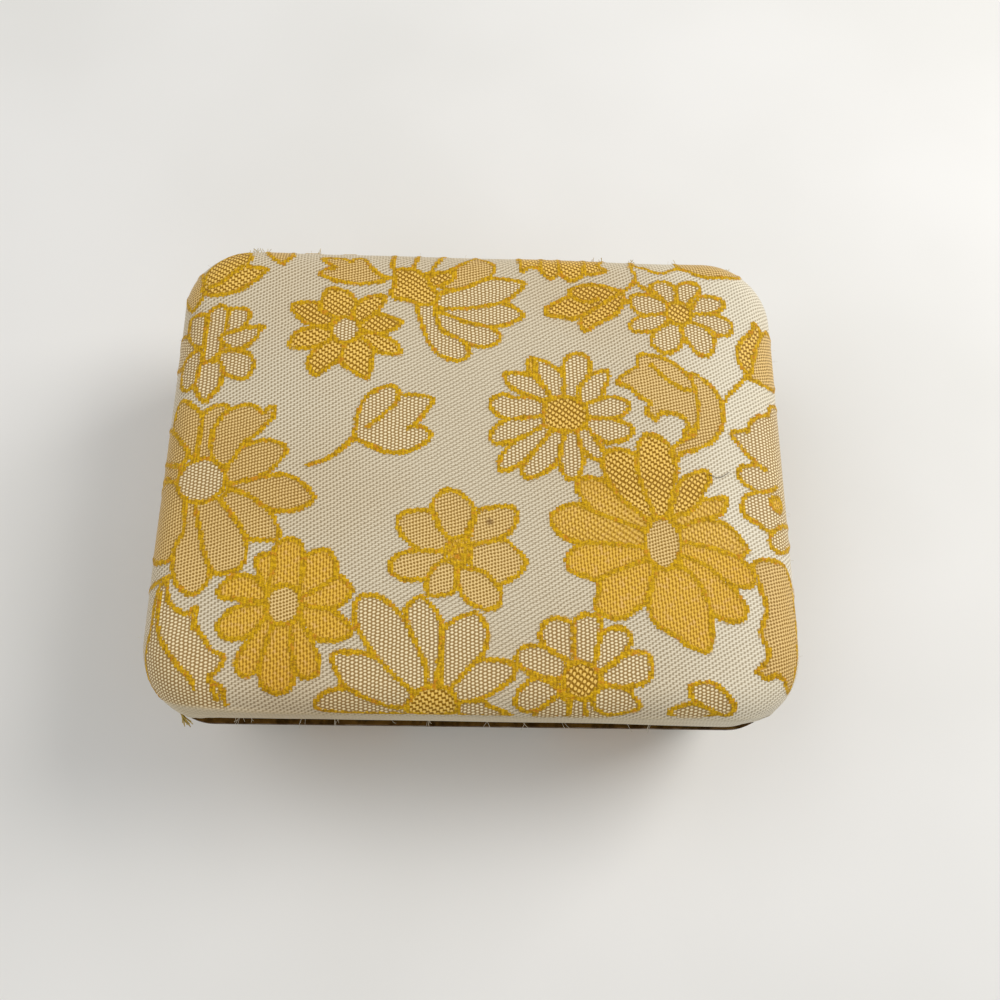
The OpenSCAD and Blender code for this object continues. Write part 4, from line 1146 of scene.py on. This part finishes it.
baseStrip = liningEdge(liningForm["baseTop"], -1)
baseStrip += taperedSide(liningForm["face"], liningForm["baseTop"] - 1, liningForm["baseBottom"])
baseSatin, baseSatinFlat = makeLining("base_satin", "base", baseStrip[::-1])
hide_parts("base_lining")
lidStrip = liningEdge(liningForm["lidLow"], 1) + [(liningForm["face"], liningForm["lidHigh"])]
lidSatin, lidSatinFlat = makeLining("lid_satin", "lid", lidStrip)
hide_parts("lid_lining")
print("brocade box: linings in")


def copySolid(name, node, body, grow=1.0):
    bm = bmesh.new()
    bm.from_mesh(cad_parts[node].data)
    bmesh.ops.remove_doubles(bm, verts=bm.verts, dist=1e-6)
    bmesh.ops.recalc_face_normals(bm, faces=bm.faces)
    bmesh.ops.scale(bm, verts=bm.verts, vec=(grow, grow, grow))
    return addMesh(name, bm, body)


def bake(piece):
    # the modifiers' result becomes the mesh
    shown = bpy.context.evaluated_depsgraph_get()
    shown.update()
    done = bpy.data.meshes.new_from_object(piece.evaluated_get(shown))
    piece.modifiers.clear()
    old = piece.data
    piece.data = done
    bpy.data.meshes.remove(old)


# The pads in mm: the cloth is blown up by the pressure, and cap is the most that it may swell
velvetPad = {
    "voxel": 1.1, "grow": 10.0, "pressure": 4.0, "stiffness": 15, "steps": 20, "cap": 0.5, "smooth": 2,
    "margin": 0.2, "fill": 0.75, "dark": (92, 16, 22), "light": (134, 32, 36), "size": 0.0004, "sheen": 0.9,
}
satinPad = {**velvetPad, "cap": 0.6, "fill": 0.8}
waddingLayer = {"dark": (226, 220, 206), "light": (250, 247, 240), "size": 0.0009, "sheen": 0.5, "fill": 0.8}


def plumpPad(name, node, body, form):
    # swelled with cloth at ten times its size, then brought back and kept inside its own solid
    pad = copySolid(name, node, body, form["grow"])
    remesh = pad.modifiers.new("voxels", "REMESH")
    remesh.mode, remesh.voxel_size = "VOXEL", form["voxel"] * mm * form["grow"]
    bake(pad)
    rest = readPoints(pad.data)
    cloth = pad.modifiers.new("filling", "CLOTH")
    cloth.settings.quality = 4
    cloth.settings.use_pressure = True
    cloth.settings.uniform_pressure_force = form["pressure"]
    cloth.settings.effector_weights.gravity = 0
    cloth.settings.tension_stiffness = cloth.settings.compression_stiffness = form["stiffness"]
    cloth.point_cache.frame_start, cloth.point_cache.frame_end = 1, form["steps"]
    for step in range(1, form["steps"] + 1):
        bpy.context.scene.frame_set(step)
    bake(pad)
    bpy.context.scene.frame_set(1)
    moved = readPoints(pad.data) - rest
    length = np.linalg.norm(moved, axis=1)
    cap = form["cap"] * mm * form["grow"]
    points = rest + moved * (np.minimum(length, cap) / np.maximum(length, tiny))[:, None]
    low, high = (np.array(corner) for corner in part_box(node))
    margin = np.array([form["margin"], form["margin"], 0.0]) * mm
    points = np.clip(points / form["grow"], low - margin, high + margin)
    pad.data.vertices.foreach_set("co", points.ravel())
    for step in range(form["smooth"]):
        rework(pad.data, lambda bm: bmesh.ops.smooth_vert(
            bm, verts=bm.verts, factor=0.5, use_axis_x=True, use_axis_y=True, use_axis_z=True))
    pad.data.shade_smooth()
    return pad


def pileMaterial(name, look):
    # short pile or fleece: soft clumps and a fine nap
    material, tree, place = newMaterial(name)
    clump = fade(tree, cloud(tree, place, look["size"] * 6, 3.0), 0.3, 0.7)
    nap = cloud(tree, place, look["size"], 4.0, 0.7)
    mixed = calc(tree, "MULTIPLY_ADD", nap, 0.8, calc(tree, "MULTIPLY_ADD", clump, 0.16, 0.0), clamp=True)
    colour = blendColour(tree, mixed, tone(*look["dark"]), tone(*look["light"]))
    finishMaterial(tree, colour, fade(tree, nap, 0.3, 0.7, 0.8, 0.98), [(nap, 0.6, look["size"] * 0.6)],
                   Sheen_Weight=look["sheen"], Sheen_Roughness=0.4, Specular_IOR_Level=0.25)
    return material


basePad = plumpPad("base_velvet", "base_pad", "base", velvetPad)
setFinish(basePad, pileMaterial("pad_velvet", velvetPad))
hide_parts("base_pad")
lidPad = plumpPad("lid_cushion", "lid_pad", "lid", satinPad)
setFinish(lidPad, satin)
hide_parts("lid_pad")

wadding = copySolid("wadding", "lid_wadding", "lid")
wadding.data.vertices.foreach_set("co", (pullFront(readPoints(wadding.data) / mm) * mm).ravel())
setFinish(wadding, pileMaterial("cotton_wadding", waddingLayer))
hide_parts("lid_wadding")
print("brocade box: pads filled")

# Felt under the base, in mm: its own corners' radius and its softened rim
feltSheet = {"corner": 3.9, "rim": 0.18, "dark": (120, 96, 62), "light": (160, 132, 90), "size": 0.0006,
             "sheen": 0.35}


def bevelEdges(bm, edges, radius, steps):
    bmesh.ops.bevel(bm, geom=edges, offset=radius, affect="EDGES", segments=steps, profile=0.5, material=-1)


def makeFelt(form):
    low, high = (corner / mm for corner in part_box("base_felt"))
    bm = bmesh.new()
    block = Matrix.Translation((low + high) / 2) @ Matrix.Diagonal((*(high - low), 1))
    bmesh.ops.create_cube(bm, size=1, matrix=block)
    bevelEdges(bm, [e for e in bm.edges if abs(e.verts[0].co.z - e.verts[1].co.z) > 0.5], form["corner"], 8)
    bevelEdges(bm, [e for e in bm.edges if abs(e.verts[0].co.z - e.verts[1].co.z) < 1e-4], form["rim"], 2)
    bmesh.ops.scale(bm, verts=bm.verts, vec=(mm, mm, mm))
    felt = addMesh("felt_foot", bm, "base")
    setFinish(felt, pileMaterial("foot_felt", form))
    return felt, (high - low) * mm


felt, feltSize = makeFelt(feltSheet)
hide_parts("base_felt")

# Brass, steel and card, on the solids that already have their shape
metalFinish = {
    # the rim's brass is dark partly from tarnish and partly from painted shade of the gap between lid and
    # base
    "rim": {"dark": (64, 42, 16), "light": (112, 84, 40), "roughness": (0.18, 0.75)},
    "hinge": {"dark": (120, 86, 36), "light": (214, 172, 88), "roughness": (0.18, 0.55)},
    "steel": {"plain": (176, 178, 180), "blued": (140, 142, 150), "roughness": (0.25, 0.2)},
    "card": {"dark": (150, 128, 96), "light": (186, 164, 128)},
}


def brassMaterial(name, look):
    material, tree, place = newMaterial(name)
    tarnish = fade(tree, cloud(tree, place, 0.004, 5.0, 0.7), 0.25, 0.75)
    scratch = cloud(tree, stretched(tree, place, (0.08, 0.08, 1.0)), 0.0003, 3.0)
    colour = blendColour(tree, tarnish, tone(*look["light"]), tone(*look["dark"]))
    rough = calc(tree, "MULTIPLY_ADD", scratch, 0.2, fade(tree, tarnish, 0.0, 1.0, *look["roughness"]))
    finishMaterial(tree, colour, rough, [(scratch, 0.15, 0.00005)], Metallic=1.0)
    return material


def steelMaterial(name, look):
    material, tree, place = newMaterial(name)
    blue = fade(tree, cloud(tree, place, 0.004, 3.0), 0.35, 0.65)
    grain = cloud(tree, stretched(tree, place, (0.1, 1.0, 1.0)), 0.0002, 2.0)
    colour = blendColour(tree, blue, tone(*look["plain"]), tone(*look["blued"]))
    rough = calc(tree, "MULTIPLY_ADD", grain, *look["roughness"])
    finishMaterial(tree, colour, rough, [(grain, 0.15, 0.00004)], Metallic=1.0)
    return material


def cardMaterial(name, look):
    material, tree, place = newMaterial(name)
    fibres = cloud(tree, place, 0.0011, 5.0, 0.7)
    patch = cloud(tree, place, 0.02, 3.0)
    mixed = calc(tree, "MULTIPLY_ADD", patch, 0.5, calc(tree, "MULTIPLY", fibres, 0.5))
    mixed = fade(tree, mixed, 0.35, 0.65)
    finishMaterial(tree, blendColour(tree, mixed, tone(*look["dark"]), tone(*look["light"])), 0.92,
                   [(fibres, 0.4, 0.0002)], Specular_IOR_Level=0.2)
    return material


nodeFinishes = [
    (brassMaterial("rim_brass", metalFinish["rim"]), ["base_rim", "lid_rim"]),
    (brassMaterial("hinge_brass", metalFinish["hinge"]),
     ["base_hinge_leaf", "lid_hinge_leaf", "base_hinge_rivets", "lid_hinge_rivets", "spring_rivet"]),
    (steelMaterial("spring_steel", metalFinish["steel"]), ["hinge_pin", "snap_spring"]),
    (cardMaterial("pressed_card", metalFinish["card"]),
     ["base_shell", "lid_shell", "base_pad_card", "lid_pad_card"]),
]
for material, nodes in nodeFinishes:
    for node in nodes:
        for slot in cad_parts[node].material_slots:
            slot.material = material
print("brocade box: metal and card finished")

# Frayed threads, in mm on the flat cloth, each kind with its thread's thickness and lengths. Top is where
# the flat top's corner frame ends, and a thread starts so far out of it.
frays = {
    "top": (51.3, 39.8), "corner": (44, 33), "root": 0.25, "dyed": ("pale", "gold", "tuft", "snag"),
    "pale": {"count": 46, "length": (0.4, 1.3), "thick": 0.028, "colour": (236, 228, 208), "out": (6.5, 13.0),
             "sides": (-34, 32), "back": (-46, 46), "droop": 0.1},
    "gold": {"at": (-45.6, -44.8, -44.2, -43.4, -42.6, -32.1, 22.6, 24.0, 30.1, 30.4, 38.8, 50.2), "each": 3,
             "length": (0.5, 1.3), "thick": 0.045, "colour": (196, 170, 84), "out": (5.5, 8.5), "droop": 0.0},
    "lip": {"at": (-41.6, -40.8, -39.9, -38.6, -30.2, -29.5, -24.2, -23.6, -14, -8.3, -7.6, 2.5, 9, 16, 27,
                   31),
            "each": (1, 3), "length": (0.8, 1.9), "thick": 0.03, "out": (13.0, 16.0), "droop": 0.15},
    "snag": {"line": [(41.6, -1.9), (42.3, -2.2), (43.2, -2.4), (44.1, -2.1), (44.8, -1.6), (45.4, -1.2)],
             "thick": 0.06, "colour": (112, 100, 82), "above": 0.12},
    "tuft": {"at": (-55.5, -50.5), "count": 12, "length": (1.6, 3.2), "thick": 0.08, "colour": (196, 164, 40),
             "droop": 0.05},
}


def surfaceSpot(u, v):
    # a place on the lid's cloth, and the way out of it
    spot = np.array([[u, v]], float)
    place, low = clothToLid(spot)[0], clothToLid(spot, 1.0)[0]
    return Vector(pullFront(place)[0]), Vector((place - low)[0]).normalized()


def strand(start, way, form, rng, knots=6):
    length = rng.uniform(*form["length"])
    side = way.cross(Vector((rng.uniform(-1, 1), rng.uniform(-1, 1), rng.uniform(-1, 1)))).normalized()
    bend = rng.uniform(0.1, 0.5) * length
    points = []
    for knot in range(knots):
        share = knot / (knots - 1)
        points.append(start - way * frays["root"] + way * length * share + side * bend * share * share
                      - Vector((0, 0, form["droop"] * length * share * share)))
    return points


def makeStrands(name, strands, thick, material):
    curve = bpy.data.curves.new(name, "CURVE")
    curve.dimensions, curve.bevel_depth, curve.bevel_resolution, curve.resolution_u = "3D", thick * mm, 0, 1
    for points in strands:
        spline = curve.splines.new("POLY")
        spline.points.add(len(points) - 1)
        for knot, point in zip(spline.points, points):
            knot.co = (*(point * mm), 1)
    holder = linkObject(name + "_line", curve)
    bpy.context.view_layer.update()
    mesh = bpy.data.meshes.new_from_object(holder)
    bpy.data.objects.remove(holder)
    piece = linkObject(name, mesh)
    setFinish(piece, material)
    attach(piece, "lid")
    return piece


def threadMaterial(name, colour):
    material, tree, place = newMaterial(name)
    twist = fade(tree, cloud(tree, place, 0.0006, 2.0), 0.35, 0.65)
    dark = tuple(part * 0.78 for part in colour)
    finishMaterial(tree, blendColour(tree, twist, tone(*dark), tone(*colour)), 0.6, Sheen_Weight=0.2)
    return material


def paleStrands(form, rng):
    # most stray fibres stand at the right and left sides and the back, and a few at the corners
    topX, topY = frays["top"]
    strands = []
    for number in range(form["count"]):
        turn = rng.random()
        out = rng.uniform(*form["out"])
        if turn < 0.36:
            spot = (topX + out, rng.uniform(*form["sides"]))
        elif turn < 0.6:
            spot = (-topX - out, rng.uniform(*form["sides"]))
        elif turn < 0.86:
            spot = (rng.uniform(*form["back"]), topY + out)
        else:
            corner = rng.choice([(1, 1), (-1, 1), (1, -1), (-1, -1)])
            spot = [sign * (at + out * 0.8) for sign, at in zip(corner, frays["corner"])]
        strands.append(strand(*surfaceSpot(*spot), form, rng))
    return strands


def goldStrands(form, rng):
    strands = []
    for x in np.repeat(form["at"], form["each"]):
        start, way = surfaceSpot(x + rng.uniform(-0.5, 0.5), frays["top"][1] + rng.uniform(*form["out"]))
        way = (way + Vector((rng.uniform(-0.9, 0.9), 0, 0))).normalized()
        strands.append(strand(start, way, form, rng))
    return strands


def lipStrands(form, rng):
    strands = []
    for x in form["at"]:
        for number in range(rng.randint(*form["each"])):
            start, way = surfaceSpot(x + rng.uniform(-0.3, 0.3), -frays["top"][1] - rng.uniform(*form["out"]))
            way = (way + Vector((rng.uniform(-0.9, 0.9), -0.2, rng.uniform(-0.4, 0.9)))).normalized()
            strands.append(strand(start, way, form, rng))
    return strands


def tuftStrands(form, rng):
    x, y = form["at"]
    strands = []
    for number in range(form["count"]):
        start, way = surfaceSpot(x + rng.uniform(-0.3, 0.3), y + rng.uniform(-0.4, 0.4))
        lean = Vector((rng.uniform(0.5, 0.9), rng.uniform(-0.7, -0.4), rng.uniform(-0.5, -0.1)))
        way = (way * 0.25 + lean).normalized()
        strands.append(strand(start + way * 0.2, way, form, rng))
    return strands


def addFrays():
    rng = random.Random(11)
    grown = {"pale": paleStrands(frays["pale"], rng), "gold": goldStrands(frays["gold"], rng),
             "lip": lipStrands(frays["lip"], rng), "tuft": tuftStrands(frays["tuft"], rng)}
    above = Vector((0, 0, frays["snag"]["above"]))
    grown["snag"] = [[surfaceSpot(*spot)[0] + above for spot in frays["snag"]["line"]]]
    threads = {kind: threadMaterial(kind + "_thread", frays[kind]["colour"]) for kind in frays["dyed"]}
    threads["lip"] = threads["pale"]
    names = {"pulled_thread": "snag", "stray_fibres": "pale", "back_frays": "gold", "lip_frays": "lip",
             "thread_tuft": "tuft"}
    return [makeStrands(name, grown[kind], frays[kind]["thick"], threads[kind])
            for name, kind in names.items()]


addFrays()
print("brocade box: frayed threads added")

# The camera's place in mm, with its turns in radians
cameraPlace = {"location": (-2.40, -66.82, 207.37), "lens": 36.0, "sensor": 36.0, "pitch": 1.22687,
               "yaw": 0.106589, "roll": -0.120886, "clip": (0.005, 20.0)}


def addCamera(form):
    pitch, roll = form["pitch"], form["roll"]
    right = Vector((1, 0, 0))
    ahead = Vector((0, math.cos(pitch), -math.sin(pitch)))
    up = right.cross(ahead)
    turnedRight = right * math.cos(roll) - up * math.sin(roll)
    turnedUp = right * math.sin(roll) + up * math.cos(roll)
    axes = Matrix((turnedRight, turnedUp, -ahead)).transposed()
    camera = linkObject("camera", bpy.data.cameras.new("camera"))
    camera.data.lens, camera.data.sensor_width = form["lens"], form["sensor"]
    camera.data.clip_start, camera.data.clip_end = form["clip"]
    turned = Matrix.Rotation(-form["yaw"], 3, "Z") @ axes
    camera.matrix_world = Matrix.Translation(Vector(form["location"]) * mm) @ turned.to_4x4()
    bpy.context.scene.camera = camera


# Lights and floor in metres
lamps = [
    {"name": "windowLight", "at": (0.44, 0.20, 0.46), "size": 0.35, "power": 2.6,
     "colour": (1.0, 0.985, 0.96)},
    {"name": "roomLight", "at": (-0.6, 0.1, 0.8), "size": 0.8, "power": 2.6, "colour": (1.0, 0.97, 0.93)},
]
lampTarget = (0, 0, 0.02)
room = {"floorSize": 3, "dark": (226, 224, 219), "light": (234, 232, 228), "mottle": 0.12, "roughness": 0.9,
        "sky": (0.93, 0.96, 1.0, 1.0), "skyStrength": 0.5}


def addLight(form):
    lamp = bpy.data.lights.new(form["name"], "AREA")
    lamp.size, lamp.energy, lamp.color = form["size"], form["power"], form["colour"]
    holder = linkObject(form["name"], lamp)
    holder.location = form["at"]
    holder.rotation_euler = (Vector(lampTarget) - holder.location).to_track_quat("-Z", "Y").to_euler()


def addStage(form):
    material, tree, place = newMaterial("paleFloor")
    mottle = fade(tree, cloud(tree, place, form["mottle"], 3.0), 0.3, 0.7)
    colour = blendColour(tree, mottle, tone(*form["dark"]), tone(*form["light"]))
    finishMaterial(tree, colour, form["roughness"])
    mesh = bpy.data.meshes.new("floor")
    rework(mesh, lambda bm: bmesh.ops.create_grid(bm, x_segments=1, y_segments=1, size=form["floorSize"]))
    mesh.materials.append(material)
    linkObject("floor", mesh)
    world = bpy.data.worlds.new("plainRoom")
    bpy.context.scene.world = world
    world.use_nodes = True
    tree = world.node_tree
    tree.nodes.clear()
    sky = addNode(tree, "Background", {"Color": form["sky"], "Strength": form["skyStrength"]})
    tree.links.new(sky.outputs[0], addNode(tree, "OutputWorld").inputs[0])


addCamera(cameraPlace)
for lampForm in lamps:
    addLight(lampForm)
addStage(room)
bpy.context.scene.view_settings.view_transform = "Standard"
print("brocade box: camera, lights and floor set")
